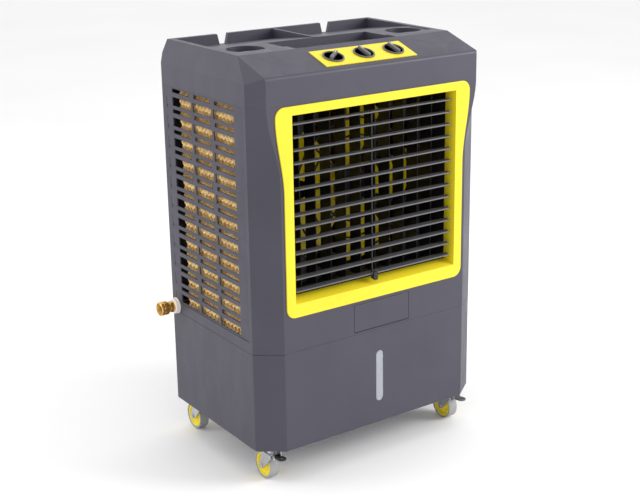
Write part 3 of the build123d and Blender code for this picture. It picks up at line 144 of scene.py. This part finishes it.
def plastic(name, color, rough, grain, edge=0.0011, lift=1.35, mottle=0.07):
    """Moulded plastic: slow tone changes, spark texture, paler edges that are partly rubbed wear and
    partly a painted highlight, and smears in the gloss.
    """
    g = Graph(name, rough)
    broad = g.noise(7.0, 4.0)
    smear = g.noise(26.0, 5.0, g.stretch(1.0, 1.0, 0.35), 0.62)
    grit = g.noise(1500.0, 2.0)
    pores = g.cells(900.0)
    tone = g.mix(g.ramp(broad, 0.3, 0.7, 0.0, 1.0), shade(color, 1 - mottle), shade(color, 1 + mottle))
    soft, mask = g.edges(edge)
    # Paler edges: rubbed wear plus a painted highlight along every convex and concave edge; lift sets
    # how pale.
    edge_wear_and_highlight = g.math("MULTIPLY", mask, g.ramp(g.noise(140.0, 3.0), 0.35, 0.7, 0.15, 0.85))
    tone = g.mix(edge_wear_and_highlight, tone, shade(color, lift))
    speck = g.ramp(grit, 0.35, 0.65, -0.5, 0.5)
    height = g.math("ADD", speck, g.ramp(pores, 0.0, 0.6, -0.4, 0.4))
    g.shader.inputs["IOR"].default_value = PLASTIC_IOR
    gloss = g.ramp(smear, 0.3, 0.75, rough - 0.07, rough + 0.09)
    return g.finish(color=tone, roughness=gloss, normal=g.bump(height, grain, 0.00012, soft))


def metal(name, color, rough, stain, brushed=(1.0, 1.0, 18.0)):
    """Plated or turned metal: fine drawn lines, cloudy tarnish and bright edges."""
    g = Graph(name, rough, 1.0)
    lines = g.noise(420.0, 4.0, g.stretch(*brushed))
    cloud = g.noise(60.0, 5.0, None, 0.6)
    spots = g.ramp(g.noise(260.0, 3.0), 0.55, 0.8, 0.0, 1.0)
    soft, mask = g.edges(METAL_EDGE)
    tone = g.mix(g.ramp(cloud, 0.35, 0.7, 0.0, stain), color, shade(color, 0.45))
    tone = g.mix(g.math("MULTIPLY", spots, 0.3), tone, shade(color, 0.6))
    tone = g.mix(g.math("MULTIPLY", mask, 0.5), tone, shade(color, 1.25))
    gloss = g.math("ADD", g.ramp(cloud, 0.3, 0.7, rough - 0.06, rough + 0.1),
                   g.ramp(lines, 0.3, 0.7, -0.04, 0.06))
    return g.finish(color=tone, roughness=gloss, normal=g.bump(lines, 0.16, 0.00015, soft))


def paper(name, pale, deep):
    """Resin-dipped cellulose: fibres, wet-dark blotches and brown stains in the flutes."""
    g = Graph(name, 0.85)
    fibre = g.noise(900.0, 4.0, g.stretch(1.0, 1.0, 0.25))
    blotch = g.noise(75.0, 4.0, None, 0.65)
    stain = g.noise(210.0, 2.0)
    tone = g.mix(g.ramp(blotch, 0.38, 0.66, 0.0, 1.0), pale, deep)
    tone = g.mix(g.ramp(stain, 0.52, 0.72, 0.0, 0.55), tone, shade(deep, 0.45))
    tone = g.mix(g.ramp(fibre, 0.35, 0.65, 0.0, 0.35), tone, shade(pale, 1.3))
    return g.finish(color=tone, roughness=g.ramp(fibre, 0.3, 0.7, 0.72, 0.95),
                    normal=g.bump(fibre, 0.5, 0.0004))


def rubber(name, color, rough):
    """Rubber: dusty patches, fine grit and edges worn darker."""
    g = Graph(name, rough)
    dust = g.noise(55.0, 5.0, None, 0.6)
    grit = g.noise(1100.0, 3.0)
    soft, mask = g.edges(RUBBER_EDGE)
    tone = g.mix(g.ramp(dust, 0.4, 0.75, 0.0, 0.6), color, shade(color, 1.25))
    tone = g.mix(g.math("MULTIPLY", mask, 0.35), tone, shade(color, 0.75))
    return g.finish(color=tone, roughness=g.ramp(dust, 0.3, 0.7, rough - 0.1, rough + 0.15),
                    normal=g.bump(grit, 0.3, 0.0002, soft))


def translucent(name, color, rough, through):
    """Milky clear plastic: haze and flow lines; through is the share of light let in."""
    g = Graph(name, rough)
    haze = g.noise(45.0, 4.0)
    flow = g.noise(90.0, 3.0, g.stretch(2.0, 2.0, 0.2))
    soft, mask = g.edges(CLEAR_EDGE)
    g.shader.inputs["Transmission Weight"].default_value = through
    g.shader.inputs["IOR"].default_value = CLEAR_IOR
    tone = g.mix(g.ramp(haze, 0.3, 0.7, 0.0, 0.5), color, shade(color, 0.88))
    tone = g.mix(g.math("MULTIPLY", mask, 0.4), tone, shade(color, 1.15))
    return g.finish(color=tone, roughness=g.ramp(flow, 0.3, 0.7, rough - 0.08, rough + 0.1),
                    normal=g.bump(flow, 0.1, 0.0003, soft))


GREY = linear(66, 64, 76)
YELLOW = linear(236, 214, 40)
# lift in these calls sets how pale each plastic's edges are painted: partly rubbed wear, partly a
# painted highlight.
BODY = plastic("body_grey", GREY, 0.46, 0.3)
COVER = plastic("cover_grey", shade(GREY, 1.04), 0.44, 0.3)
GRILLE = plastic("grille_grey", shade(GREY, 0.98), 0.5, 0.3)
ACCENT = plastic("accent_yellow", YELLOW, 0.36, 0.12, lift=1.1, mottle=0.03)
FAN_YELLOW = plastic("fan_yellow", linear(250, 222, 0), 0.4, 0.15, lift=1.1, mottle=0.05)
PLATE = plastic("plate_yellow", YELLOW, 0.3, 0.06, lift=1.05, mottle=0.02)
# The louvres' pale front edges (lift 1.7) are a painted highlight.
BLADE = plastic("louvre_grey", linear(98, 97, 101), 0.42, 0.25, edge=0.0009, lift=1.7)
BLACK = plastic("black_plastic", linear(24, 24, 26), 0.38, 0.2, lift=2.4, mottle=0.12)
DUCT = plastic("duct_black", linear(30, 30, 33), 0.5, 0.25, lift=1.8, mottle=0.1)
KNOB = plastic("knob_grey", linear(96, 96, 100), 0.4, 0.2, edge=0.0006, lift=1.5)
KNOB_DARK = plastic("knob_recess", linear(22, 22, 26), 0.35, 0.12, lift=1.8, mottle=0.1)
WHITE = plastic("white_plastic", linear(238, 234, 224), 0.42, 0.12, lift=1.02, mottle=0.03)
PUMP_GREY = plastic("pump_body", linear(60, 66, 74), 0.5, 0.2)
HOSE = plastic("feed_pipe", linear(190, 190, 186), 0.35, 0.1, lift=1.1, mottle=0.04)
RUBBER = rubber("gasket_black", linear(26, 26, 26), 0.55)
TREAD = rubber("tread_grey", linear(150, 151, 150), 0.5)
ZINC = metal("zinc", (0.58, 0.59, 0.61, 1.0), 0.34, 0.3)
STEEL = metal("motor_steel", (0.32, 0.33, 0.35, 1.0), 0.42, 0.5)
BRASS = metal("brass", (0.80, 0.47, 0.14, 1.0), 0.27, 0.35, (18.0, 1.0, 1.0))
PAD = paper("pad_paper", linear(250, 222, 164), linear(206, 140, 62))
# The pad's core is coloured dark brown as painted shade deep in the flutes.
PAD_SHADED_CORE = paper("pad_core_painted_shade", linear(120, 76, 34), linear(46, 26, 10))
LENS = translucent("window_lens", linear(208, 212, 222), 0.2, 0.5)
BEAD = plastic("level_bead", linear(214, 60, 48), 0.35, 0.1, lift=1.1)
INK = plastic("dial_ink", linear(58, 54, 20), 0.6, 0.05, edge=0.0001, mottle=0.1)

SLOT_MATERIALS = {"body_grey": BODY, "accent_yellow": ACCENT, "black_plastic": BLACK,
                  "louvre_grey": BLADE, "knob_grey": KNOB, "pad": PAD, "motor_steel": STEEL,
                  "zinc": ZINC, "wheel": ACCENT, "brass": BRASS, "white_plastic": WHITE,
                  "clear_plastic": LENS, "hose": HOSE}
for part in frame["record"]["subparts"]:
    look = SLOT_MATERIALS[part["material_slot"]]
    data = NODES[part["node"]].data
    data.materials.clear()
    data.materials.append(look)
for name, look in (("top_cover", COVER), ("intake_grilles", GRILLE), ("control_plate", PLATE),
                   ("fan_shroud", DUCT), ("fan_rotor", FAN_YELLOW), ("pump", PUMP_GREY)):
    NODES[name].data.materials[0] = look


def loose_parts(mesh):
    """Polygon index lists, one per separate solid, joining vertices that share a place."""
    key, parent = {}, []

    def find(i):
        while parent[i] != i:
            parent[i] = parent[parent[i]]
            i = parent[i]
        return i
    owner = []
    for v in mesh.vertices:
        place = (round(v.co.x, 5), round(v.co.y, 5), round(v.co.z, 5))
        if place not in key:
            key[place] = len(parent)
            parent.append(len(parent))
        owner.append(key[place])
    for p in mesh.polygons:
        first = find(owner[p.vertices[0]])
        for v in p.vertices[1:]:
            parent[find(owner[v])] = first
    groups = {}
    for p in mesh.polygons:
        groups.setdefault(find(owner[p.vertices[0]]), []).append(p.index)
    return list(groups.values())


def extent(mesh, polygons):
    """(low, high) corners of some of a mesh's polygons."""
    points = [mesh.vertices[v].co for p in polygons for v in mesh.polygons[p].vertices]
    low = Vector(min(c[i] for c in points) for i in range(3))
    high = Vector(max(c[i] for c in points) for i in range(3))
    return low, high


def paint_parts(node, choose):
    """Give each solid of a CAD node its own material: choose(low, high) returns it."""
    mesh = NODES[node].data
    slots = {}
    mesh.materials.clear()
    for polygons in loose_parts(mesh):
        look = choose(*extent(mesh, polygons))
        if look.name not in slots:
            slots[look.name] = len(slots)
            mesh.materials.append(look)
        for p in polygons:
            mesh.polygons[p].material_index = slots[look.name]


TAIL_WIDTH = 0.02
TAIL_LENGTH = 0.03
GASKET_THICKNESS = 0.004
BEAD_HEIGHT = 0.02
HUB_REACH = 0.0475


def valve_look(low, high):
    """The valve's tail is narrower or longer than these sizes, the gasket thinner, the rest the nut."""
    size = high - low
    if size.y < TAIL_WIDTH or size.x > TAIL_LENGTH:
        return BRASS
    return RUBBER if size.x < GASKET_THICKNESS else WHITE


def window_look(low, high):
    return BEAD if high.z - low.z < BEAD_HEIGHT else LENS


def paint_hub():
    """Black inside the hub's reach; the blades stay yellow."""
    mesh = NODES["fan_rotor"].data
    low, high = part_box("fan_rotor")
    axis = (low + high) / 2
    mesh.materials.append(BLACK)
    for p in mesh.polygons:
        spokes = [mesh.vertices[v].co - axis for v in p.vertices]
        if max(math.hypot(spoke.x, spoke.z) for spoke in spokes) < HUB_REACH:
            p.material_index = 1


paint_hub()
paint_parts("float_valve", valve_look)
paint_parts("level_window", window_look)


# ---------- mesh builders ----------
SMOOTH_ANGLE = 35.0
RIM_STEP = 0.3


def add_mesh(name, verts, faces, looks, picks=None, angle=SMOOTH_ANGLE):
    """New object; picks gives each face its material's index, angle where shading turns sharp."""
    mesh = bpy.data.meshes.new(name)
    mesh.from_pydata([tuple(v) for v in verts], [], faces)
    for look in looks:
        mesh.materials.append(look)
    if picks:
        mesh.polygons.foreach_set("material_index", picks)
    mesh.shade_smooth()
    mesh.set_sharp_from_angle(angle=math.radians(angle))
    mesh.update()
    piece = bpy.data.objects.new(name, mesh)
    bpy.context.scene.collection.objects.link(piece)
    return piece


def frame_of(axis, up=(0, 0, 1)):
    """Rotation whose local Z lies along axis and whose local Y leans towards up."""
    z = Vector(axis).normalized()
    x = Vector(up).cross(z).normalized()
    return Matrix((x, z.cross(x), z)).transposed()


class Builder:
    """Collects verts and faces of one piece, each with a material index."""

    def __init__(self):
        self.verts, self.faces, self.picks = [], [], []

    def add(self, verts, faces, pick=0, place=None):
        base = len(self.verts)
        self.verts += [place @ Vector(v) if place else Vector(v) for v in verts]
        self.faces += [tuple(base + i for i in f) for f in faces]
        self.picks += [pick] * len(faces)

    def lathe(self, profile, place, pick=0, steps=64, lobes=None):
        """Revolve closed (radius, height) points about local Z, reshaped by lobes(angle, k, radius)."""
        verts = []
        for k, (radius, height) in enumerate(profile):
            for i in range(steps):
                turn = 2 * math.pi * i / steps
                r = lobes(turn, k, radius) if lobes else radius
                verts.append((r * math.cos(turn), r * math.sin(turn), height))
        faces = []
        rows = len(profile)
        for k in range(rows):
            for i in range(steps):
                j, n = (i + 1) % steps, (k + 1) % rows
                faces.append((k * steps + i, k * steps + j, n * steps + j, n * steps + i))
        self.add(verts, faces, pick, place)

    def slab(self, outline, low, high, place, pick=0, edge=0.0):
        """Prism of an outline with its rims rounded in by edge."""
        centre = Vector((sum(p[0] for p in outline), sum(p[1] for p in outline))) / len(outline)

        def row(inset, z):
            out = []
            for x, y in outline:
                d = Vector((x, y)) - centre
                d = d * max(0.0, 1 - inset / max(d.length, 1e-6))
                out.append((centre.x + d.x, centre.y + d.y, z))
            return out
        step = edge * RIM_STEP
        rows = [row(edge, low), row(step, low + step), row(0, low + edge),
                row(0, high - edge), row(step, high - step), row(edge, high)]
        if not edge:
            rows = [rows[2], rows[3]]
        n = len(outline)
        verts = [v for r in rows for v in r]
        faces = [tuple(range(n))[::-1], tuple(range((len(rows) - 1) * n, len(rows) * n))]
        for k in range(len(rows) - 1):
            here, above = k * n, (k + 1) * n
            faces += [(here + i, here + (i + 1) % n, above + (i + 1) % n, above + i) for i in range(n)]
        self.add(verts, faces, pick, place)

    def piece(self, name, looks, body, slot, replaced=(), angle=SMOOTH_ANGLE):
        """Finish the piece: it rides on body, and stands in for the replaced CAD nodes."""
        made = add_mesh(name, self.verts, self.faces, looks, self.picks, angle)
        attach(made, body)
        if replaced:
            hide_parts(*replaced)
        return made


def fillet_profile(points, radius, steps=4):
    """Round every corner of a closed (r, z) profile."""
    out = []
    n = len(points)
    for i, p in enumerate(points):
        p, a, b = Vector(p), Vector(points[i - 1]), Vector(points[(i + 1) % n])
        cut = min(radius, (a - p).length * 0.45, (b - p).length * 0.45)
        start, end = p + (a - p).normalized() * cut, p + (b - p).normalized() * cut
        for k in range(steps + 1):
            t = k / steps
            out.append(tuple((1 - t) ** 2 * start + 2 * t * (1 - t) * p + t * t * end))
    return out


# ---------- cooling pads ----------
FLUTE = 0.0155
FLUTE_POINTS = 6
SHEET = 0.0074
WAVE_REACH = 0.46
PAPER = 0.0005
FACE_DEPTH = 0.013
DEPTH_STEPS = 3
LEANS = (-0.5, 0.9)
SHEET_PLAY = 0.0003
PHASE_PLAY = 0.25
RAGGED = 0.0006
PAD_ANGLE = 60.0


def fluted_pad(build, low, high, out, along):
    """Cross-fluted paper sheets standing on edge behind the face that looks along out.

    Returns the corners of what is left of the pad behind them.
    """
    rng = random.Random(round(low.x * 1000))
    side = high if out[0] + out[1] > 0 else low
    face = abs(side.dot(Vector(out)))
    span = (high - low).dot(along)
    start = low.dot(along)
    sheets = int(span / SHEET) - 1
    up = int((high.z - low.z) / (FLUTE / FLUTE_POINTS))
    dz = (high.z - low.z) / up
    inward = -Vector(out)
    origin = Vector(out) * face
    n = up + 1
    faces = [(j * n + k, j * n + k + 1, (j + 1) * n + k + 1, (j + 1) * n + k)
             for j in range(DEPTH_STEPS) for k in range(up)]
    for s in range(sheets):
        middle = start + SHEET * (s + 1) + rng.uniform(-SHEET_PLAY, SHEET_PLAY)
        lean = LEANS[s % 2]
        phase = math.pi * (s % 2) + rng.uniform(-PHASE_PLAY, PHASE_PLAY)
        verts = []
        for j in range(DEPTH_STEPS + 1):
            d = FACE_DEPTH * j / DEPTH_STEPS
            for k in range(n):
                z = dz * k
                wave = math.sin(2 * math.pi * (z + lean * d) / FLUTE + phase)
                ragged = rng.uniform(0, RAGGED) if j == 0 else 0.0
                place = origin + inward * (d + ragged) + along * (middle + SHEET * WAVE_REACH * wave)
                verts.append((place.x, place.y, low.z + z))
        build.add(verts, faces)
    inner_low, inner_high = low.copy(), high.copy()
    for i in range(2):
        if out[i] > 0:
            inner_high[i] -= FACE_DEPTH
        elif out[i] < 0:
            inner_low[i] += FACE_DEPTH
    return inner_low, inner_high


def box_faces(low, high):
    verts = [(x, y, z) for z in (low.z, high.z) for y in (low.y, high.y) for x in (low.x, high.x)]
    return verts, [(0, 2, 3, 1), (4, 5, 7, 6), (0, 1, 5, 4), (2, 6, 7, 3), (0, 4, 6, 2), (1, 3, 7, 5)]


def pad_facing(low, high):
    """Name of the pad in this box, the way it faces, and the way its sheets follow each other."""
    size = high - low
    if size.x > size.y:
        return "pad_rear", (0, 1, 0), Vector((1, 0, 0))
    if low.x > 0:
        return "pad_right", (1, 0, 0), Vector((0, 1, 0))
    return "pad_left", (-1, 0, 0), Vector((0, 1, 0))


def build_pads():
    mesh = NODES["cooling_pads"].data
    for polygons in loose_parts(mesh):
        low, high = extent(mesh, polygons)
        name, out, along = pad_facing(low, high)
        sheets = Builder()
        inner = fluted_pad(sheets, low, high, out, along)
        piece = sheets.piece(name, [PAD], "cooler", "pad", ["cooling_pads"], PAD_ANGLE)
        solid = piece.modifiers.new("paper", "SOLIDIFY")
        solid.thickness = PAPER
        solid.offset = 0.0
        # What is left of the pad behind the sheets, in dark brown: painted shade that shows through the
        # gaps between the sheets.
        core = Builder()
        core.add(*box_faces(*inner))
        core.piece(name + "_core", [PAD_SHADED_CORE], "cooler", "pad")


build_pads()


# ---------- casters ----------
WHEEL_STEPS = 72
TREAD_THICKNESS = 0.0045
TREAD_LIP = 0.0022
TREAD_STEP = 0.0016
TREAD_ROUND = 0.0034
CORE_ROUND = 0.0012
# The yellow disc's outline: (radius, depth in from the wheel's side), then (distance in from
# the tread, depth) for the part that follows the rim.
DISH = ((0.0041, 0.0008), (0.0085, 0.0008), (0.0095, 0.0045), (0.0185, 0.0075))
DISH_RIM = ((0.0052, 0.0052), (0.0038, 0.0014), (0.0, 0.0014))
FORK_GAP = 0.0012
FORK_PLATE = 0.0025
NUT_RADIUS = 0.0058
NUT_HEIGHT = 0.0018
NUT_EDGE = 0.0005


def build_tread(corner, place, half, rim, radius):
    tread = Builder()
    outline = [(rim, -half + TREAD_STEP), (rim + TREAD_LIP, -half), (radius, -half),
               (radius, half), (rim + TREAD_LIP, half), (rim, half - TREAD_STEP)]
    tread.lathe(fillet_profile(outline, TREAD_ROUND), place, steps=WHEEL_STEPS)
    wheel = f"caster_wheel_{corner}"
    tread.piece(f"tread_{corner}", [TREAD], wheel, "wheel", [wheel])


def build_wheel_core(corner, place, half, rim):
    core = Builder()
    dish = [(r, -half + depth) for r, depth in DISH]
    dish += [(rim - inset, -half + depth) for inset, depth in DISH_RIM]
    outline = dish + [(r, -z) for r, z in reversed(dish)]
    core.lathe(fillet_profile(outline, CORE_ROUND), place, steps=WHEEL_STEPS)
    wheel = f"caster_wheel_{corner}"
    core.piece(f"wheel_core_{corner}", [ACCENT], wheel, "accent_yellow", [wheel])


def build_axle_nuts(corner, middle, half):
    ends = Builder()
    nut = [(NUT_RADIUS * math.cos(math.pi * i / 3), NUT_RADIUS * math.sin(math.pi * i / 3))
           for i in range(6)]
    reach = half + FORK_GAP + FORK_PLATE
    for sign in (-1, 1):
        at = Matrix.Translation(middle + Vector((sign * reach, 0, 0))) @ frame_of((sign, 0, 0)).to_4x4()
        ends.slab(nut, 0.0, NUT_HEIGHT, at, edge=NUT_EDGE)
    ends.piece(f"axle_nuts_{corner}", [ZINC], f"caster_fork_{corner}", "zinc")


def build_casters():
    for corner in CORNERS:
        low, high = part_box(f"caster_wheel_{corner}")
        middle = (low + high) / 2
        half, radius = (high.x - low.x) / 2, (high.z - low.z) / 2
        place = Matrix.Translation(middle) @ frame_of((1, 0, 0)).to_4x4()
        rim = radius - TREAD_THICKNESS
        build_tread(corner, place, half, rim, radius)
        build_wheel_core(corner, place, half, rim)
        build_axle_nuts(corner, middle, half)


build_casters()


# ---------- knobs and dial marks ----------
SLOPE_RISE = 0.034
SLOPE_RUN = 0.1035
SLOPE = math.atan2(SLOPE_RISE, SLOPE_RUN)
# The way each knob points at rest, and where its ticks stand, in degrees from straight up.
KNOB_TURNS = (("speed_knob", 50.0), ("pump_knob", 0.0), ("swing_knob", 0.0))
DIAL_TURNS = (("speed_knob", (-55, -20, 15, 50, 85)), ("pump_knob", (0, 90)), ("swing_knob", (0, 90)))
KNOB_LIFT = 0.0015
KNOB_STEPS = 120
KNOB_ANGLE = 30.0
# (radius, height) of the knob's grey rim and of the dark dish within it.
KNOB_RIM = [(0.0030, 0.0), (0.0240, 0.0), (0.0240, 0.0021), (0.0229, 0.0031), (0.0216, 0.0031),
            (0.0206, 0.0012), (0.0030, 0.0010)]
KNOB_DISH = [(0.0, 0.0011), (0.0202, 0.0013), (0.0202, 0.0010), (0.0, 0.0009)]
RIM_ROUND = 0.0005
GRIP_COUNT = 30
GRIP_DEPTH = 0.00045
GRIP_FROM = 0.0235
GRIP_CUT = 0.2
BAR_POINTS = 48
BAR_HALF_LENGTH = 0.0208
BAR_HALF_WIDTH = 0.0041
BAR_WAIST = 0.82
BAR_FLARE = 0.18
BAR_FOOT = 0.0008
BAR_TOP = 0.0084
BAR_EDGE = 0.0011
POINTER_HALF = 0.0006
POINTER_START = 0.0060
POINTER_END = 0.0192
POINTER_FOOT = 0.0082
POINTER_TOP = 0.00885
MARK_LIFT = 0.00102
MARK_HALF = 0.0005
MARK_START = 0.0262
MARK_END = 0.0290
MARK_THICKNESS = 0.00012


def slope_place(x, lift, turn):
    """Frame on the front slope at the controls' middle line: local Z leaves the surface."""
    low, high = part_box("control_plate")
    middle = (low + high) / 2
    normal = Vector((0, -math.sin(SLOPE), math.cos(SLOPE)))
    turned = frame_of(normal, (0, 1, 0)) @ Matrix.Rotation(math.radians(-turn), 3, "Z")
    return Matrix.Translation(Vector((x, middle.y, middle.z)) + normal * lift) @ turned.to_4x4()


def middle_x(node):
    low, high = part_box(node)
    return (low.x + high.x) / 2


def strip(half, start, end):
    """Outline of a straight strip that runs from start to end, half wide to each side."""
    return [(-half, start), (half, start), (half, end), (-half, end)]


def grips(angle, k, radius):
    """Fine notches round the knob's rim."""
    notched = radius > GRIP_FROM and math.cos(GRIP_COUNT * angle) > GRIP_CUT
    return radius - (GRIP_DEPTH if notched else 0.0)


def grip_bar():
    """Outline of the grip: a squared-off oval, drawn in at its waist."""
    outline = []
    for i in range(BAR_POINTS):
        t = 2 * math.pi * i / BAR_POINTS
        c, s = math.cos(t), math.sin(t)
        y = BAR_HALF_LENGTH * (abs(s) ** 0.55) * (1 if s >= 0 else -1)
        half = BAR_HALF_WIDTH * (abs(c) ** 0.35) * (1 if c >= 0 else -1)
        outline.append((half * (BAR_WAIST + BAR_FLARE * abs(y) / BAR_HALF_LENGTH), y))
    return outline


def build_knobs():
    """Knob with a grey rim, dark dish, waisted grip bar and a pale pointer line."""
    for name, turn in KNOB_TURNS:
        place = slope_place(middle_x(name), KNOB_LIFT, turn)
        knob = Builder()
        knob.lathe(fillet_profile(KNOB_RIM, RIM_ROUND, 3), place, 0, KNOB_STEPS, grips)
        knob.lathe(KNOB_DISH, place, 1)
        knob.slab(grip_bar(), BAR_FOOT, BAR_TOP, place, 0, BAR_EDGE)
        knob.slab(strip(POINTER_HALF, POINTER_START, POINTER_END), POINTER_FOOT, POINTER_TOP, place, 2)
        knob.piece(name + "_cap", [KNOB, KNOB_DARK, WHITE], name, "knob_grey", [name], KNOB_ANGLE)


def build_dial_marks():
    """Generic tick marks around each knob, printed on the plate."""
    marks = Builder()
    for name, turns in DIAL_TURNS:
        for turn in turns:
            place = slope_place(middle_x(name), MARK_LIFT, turn)
            marks.slab(strip(MARK_HALF, MARK_START, MARK_END), 0.0, MARK_THICKNESS, place)
    marks.piece("dial_marks", [INK], "cooler", "black_plastic")


build_knobs()
build_dial_marks()


# ---------- hose connector ----------
# Heights run outwards from the valve; the socket's mouth lies at the connector's full length.
NECK = [(0.006, 0.0), (0.0118, 0.0), (0.0135, 0.0012), (0.0135, 0.0088), (0.0118, 0.0102),
        (0.0096, 0.0106), (0.0096, 0.0150), (0.006, 0.0150)]
HEX_FLAT = 0.0117
HEX_FROM = 0.0119
SWIVEL = [(0.0098, 0.0148), (0.0150, 0.0152), (0.0161, 0.0164), (0.0165, 0.0190), (0.0165, 0.0262),
          (0.0157, 0.0272), (0.0157, 0.0285), (0.0165, 0.0294), (0.0165, 0.0340), (0.0160, 0.0354)]
MOUTH_OUTER = 0.0150
MOUTH_INNER = 0.0136
THREAD_OUTER = 0.0131
THREAD_INNER = 0.0124
THREAD_TURNS = 5
THREAD_PITCH = 0.0020
THREAD_START = 0.0020
THREAD_LEAD_IN = 0.0010
THREAD_FLANK = 0.0008
SOCKET_FLOOR = [(0.0126, 0.0122), (0.0060, 0.0124)]
WATERWAY = 0.0060
FINGER_COUNT = 10
FINGER_DEPTH = 0.0009
FINGER_ROWS = (2, 3, 4)
BRASS_ANGLE = 28.0
SEAL_BORE = 0.0075
SEAL_RADIUS = 0.0122
SEAL_BACK = 0.0123
SEAL_FRONT = 0.0098
SEAL_ROUND = 0.0008


def hexed(angle, k, radius):
    """Cut the neck's wide part to a hexagon."""
    flat = HEX_FLAT / math.cos((angle % (math.pi / 3)) - math.pi / 6)
    return min(radius, flat) if radius > HEX_FROM else radius


def fingered(angle, k, radius):
    """Press finger grooves into the swivel's wide rows."""
    if k not in FINGER_ROWS:
        return radius
    return radius - FINGER_DEPTH * max(0.0, math.cos(FINGER_COUNT * angle)) ** 0.5


def swivel_outline(length):
    """Outside of the swivel, over its mouth and back down the threaded bore."""
    outline = SWIVEL + [(MOUTH_OUTER, length), (MOUTH_INNER, length),
                        (THREAD_OUTER, length - THREAD_LEAD_IN)]
    for k in range(THREAD_TURNS):
        z = length - THREAD_START - THREAD_PITCH * k
        outline += [(THREAD_OUTER, z), (THREAD_INNER, z - THREAD_FLANK),
                    (THREAD_OUTER, z - 2 * THREAD_FLANK)]
    outline += [(r, length - depth) for r, depth in SOCKET_FLOOR]
    return outline + [(WATERWAY, SWIVEL[0][1])]


def build_connector():
    low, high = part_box("hose_connector")
    middle = (low + high) / 2
    place = Matrix.Translation(Vector((high.x, middle.y, middle.z))) @ frame_of((-1, 0, 0)).to_4x4()
    length = high.x - low.x
    brass = Builder()
    brass.lathe(NECK, place, 0, 96, hexed)
    brass.lathe(swivel_outline(length), place, 0, 120, fingered)
    brass.piece("brass_swivel", [BRASS], "cooler", "brass", ["hose_connector"], BRASS_ANGLE)
    back, front = length - SEAL_BACK, length - SEAL_FRONT
    seal = Builder()
    ring = [(SEAL_BORE, back), (SEAL_RADIUS, back), (SEAL_RADIUS, front), (SEAL_BORE, front)]
    seal.lathe(fillet_profile(ring, SEAL_ROUND), place, 0, 48)
    seal.piece("swivel_washer", [RUBBER], "cooler", "black_plastic")


build_connector()


# ---------- floor, light and camera ----------
FLOOR_HALF = 60.0
LIGHTS = (  # name, place, target, side of the square, watts
    ("key", (2.9, -2.5, 2.1), (0.05, 0, 0.5), 1.8, 104.0),
    ("side", (-2.9, 1.6, 1.8), (-0.1, 0, 0.6), 1.6, 24.0),
    ("top", (-0.3, 0.4, 3.2), (0, 0, 0.9), 2.0, 8.0),
)
CAMERA_AZ = -34.94
CAMERA_EL = 16.64
CAMERA_ROLL = -0.76
CAMERA_DIST = 2.9352
CAMERA_LOOK = Vector((0.0388, 0.0, 0.5221))
CAMERA_LENS = 70.556
CAMERA_SHIFT = (-0.0156, -0.0502)
CAMERA_FAR = 200.0


def build_floor():
    size = FLOOR_HALF
    floor = add_mesh("floor", [(-size, -size, 0), (size, -size, 0), (size, size, 0), (-size, size, 0)],
                     [(0, 1, 2, 3)], [])
    g = Graph("floor_pale", 0.75)
    wide = g.noise(0.8, 2.0)
    tone = g.mix(g.ramp(wide, 0.3, 0.7, 0.0, 1.0), (0.90, 0.90, 0.905, 1.0), (0.93, 0.93, 0.93, 1.0))
    floor.data.materials.append(g.finish(color=tone))
    g.shader.inputs["Specular IOR Level"].default_value = 0.1


def area_light(name, place, target, size, power):
    light = bpy.data.lights.new(name, "AREA")
    light.shape = "RECTANGLE"
    light.size = light.size_y = size
    light.energy = power
    lamp = bpy.data.objects.new(name, light)
    bpy.context.scene.collection.objects.link(lamp)
    lamp.location = place
    lamp.rotation_euler = (Vector(target) - Vector(place)).to_track_quat("-Z", "Y").to_euler()


def build_light():
    """White surroundings, a key from the front right, a weaker side light and a faint top light."""
    world = bpy.data.worlds.new("studio")
    world.use_nodes = True
    background = world.node_tree.nodes["Background"]
    background.inputs["Color"].default_value = (1.0, 1.0, 1.0, 1.0)
    background.inputs["Strength"].default_value = 1.0
    scene = bpy.context.scene
    scene.world = world
    for light in LIGHTS:
        area_light(*light)
    scene.view_settings.view_transform = "Standard"
    scene.view_settings.look = "None"


def build_camera():
    """Camera at the photograph's angle; azimuth 0 looks along +Y."""
    az, el, roll = (math.radians(v) for v in (CAMERA_AZ, CAMERA_EL, CAMERA_ROLL))
    back = Vector((math.sin(az) * math.cos(el), -math.cos(az) * math.cos(el), math.sin(el)))
    right = (-back).cross(Vector((0, 0, 1))).normalized()
    up = right.cross(-back)
    x = right * math.cos(roll) + up * math.sin(roll)
    y = -right * math.sin(roll) + up * math.cos(roll)
    turned = Matrix((x, y, back)).transposed().to_4x4()
    data = bpy.data.cameras.new("camera")
    data.lens = CAMERA_LENS
    data.shift_x, data.shift_y = CAMERA_SHIFT
    data.clip_end = CAMERA_FAR
    camera = bpy.data.objects.new("camera", data)
    bpy.context.scene.collection.objects.link(camera)
    camera.matrix_world = Matrix.Translation(CAMERA_LOOK + back * CAMERA_DIST) @ turned
    bpy.context.scene.camera = camera


build_floor()
build_light()
build_camera()

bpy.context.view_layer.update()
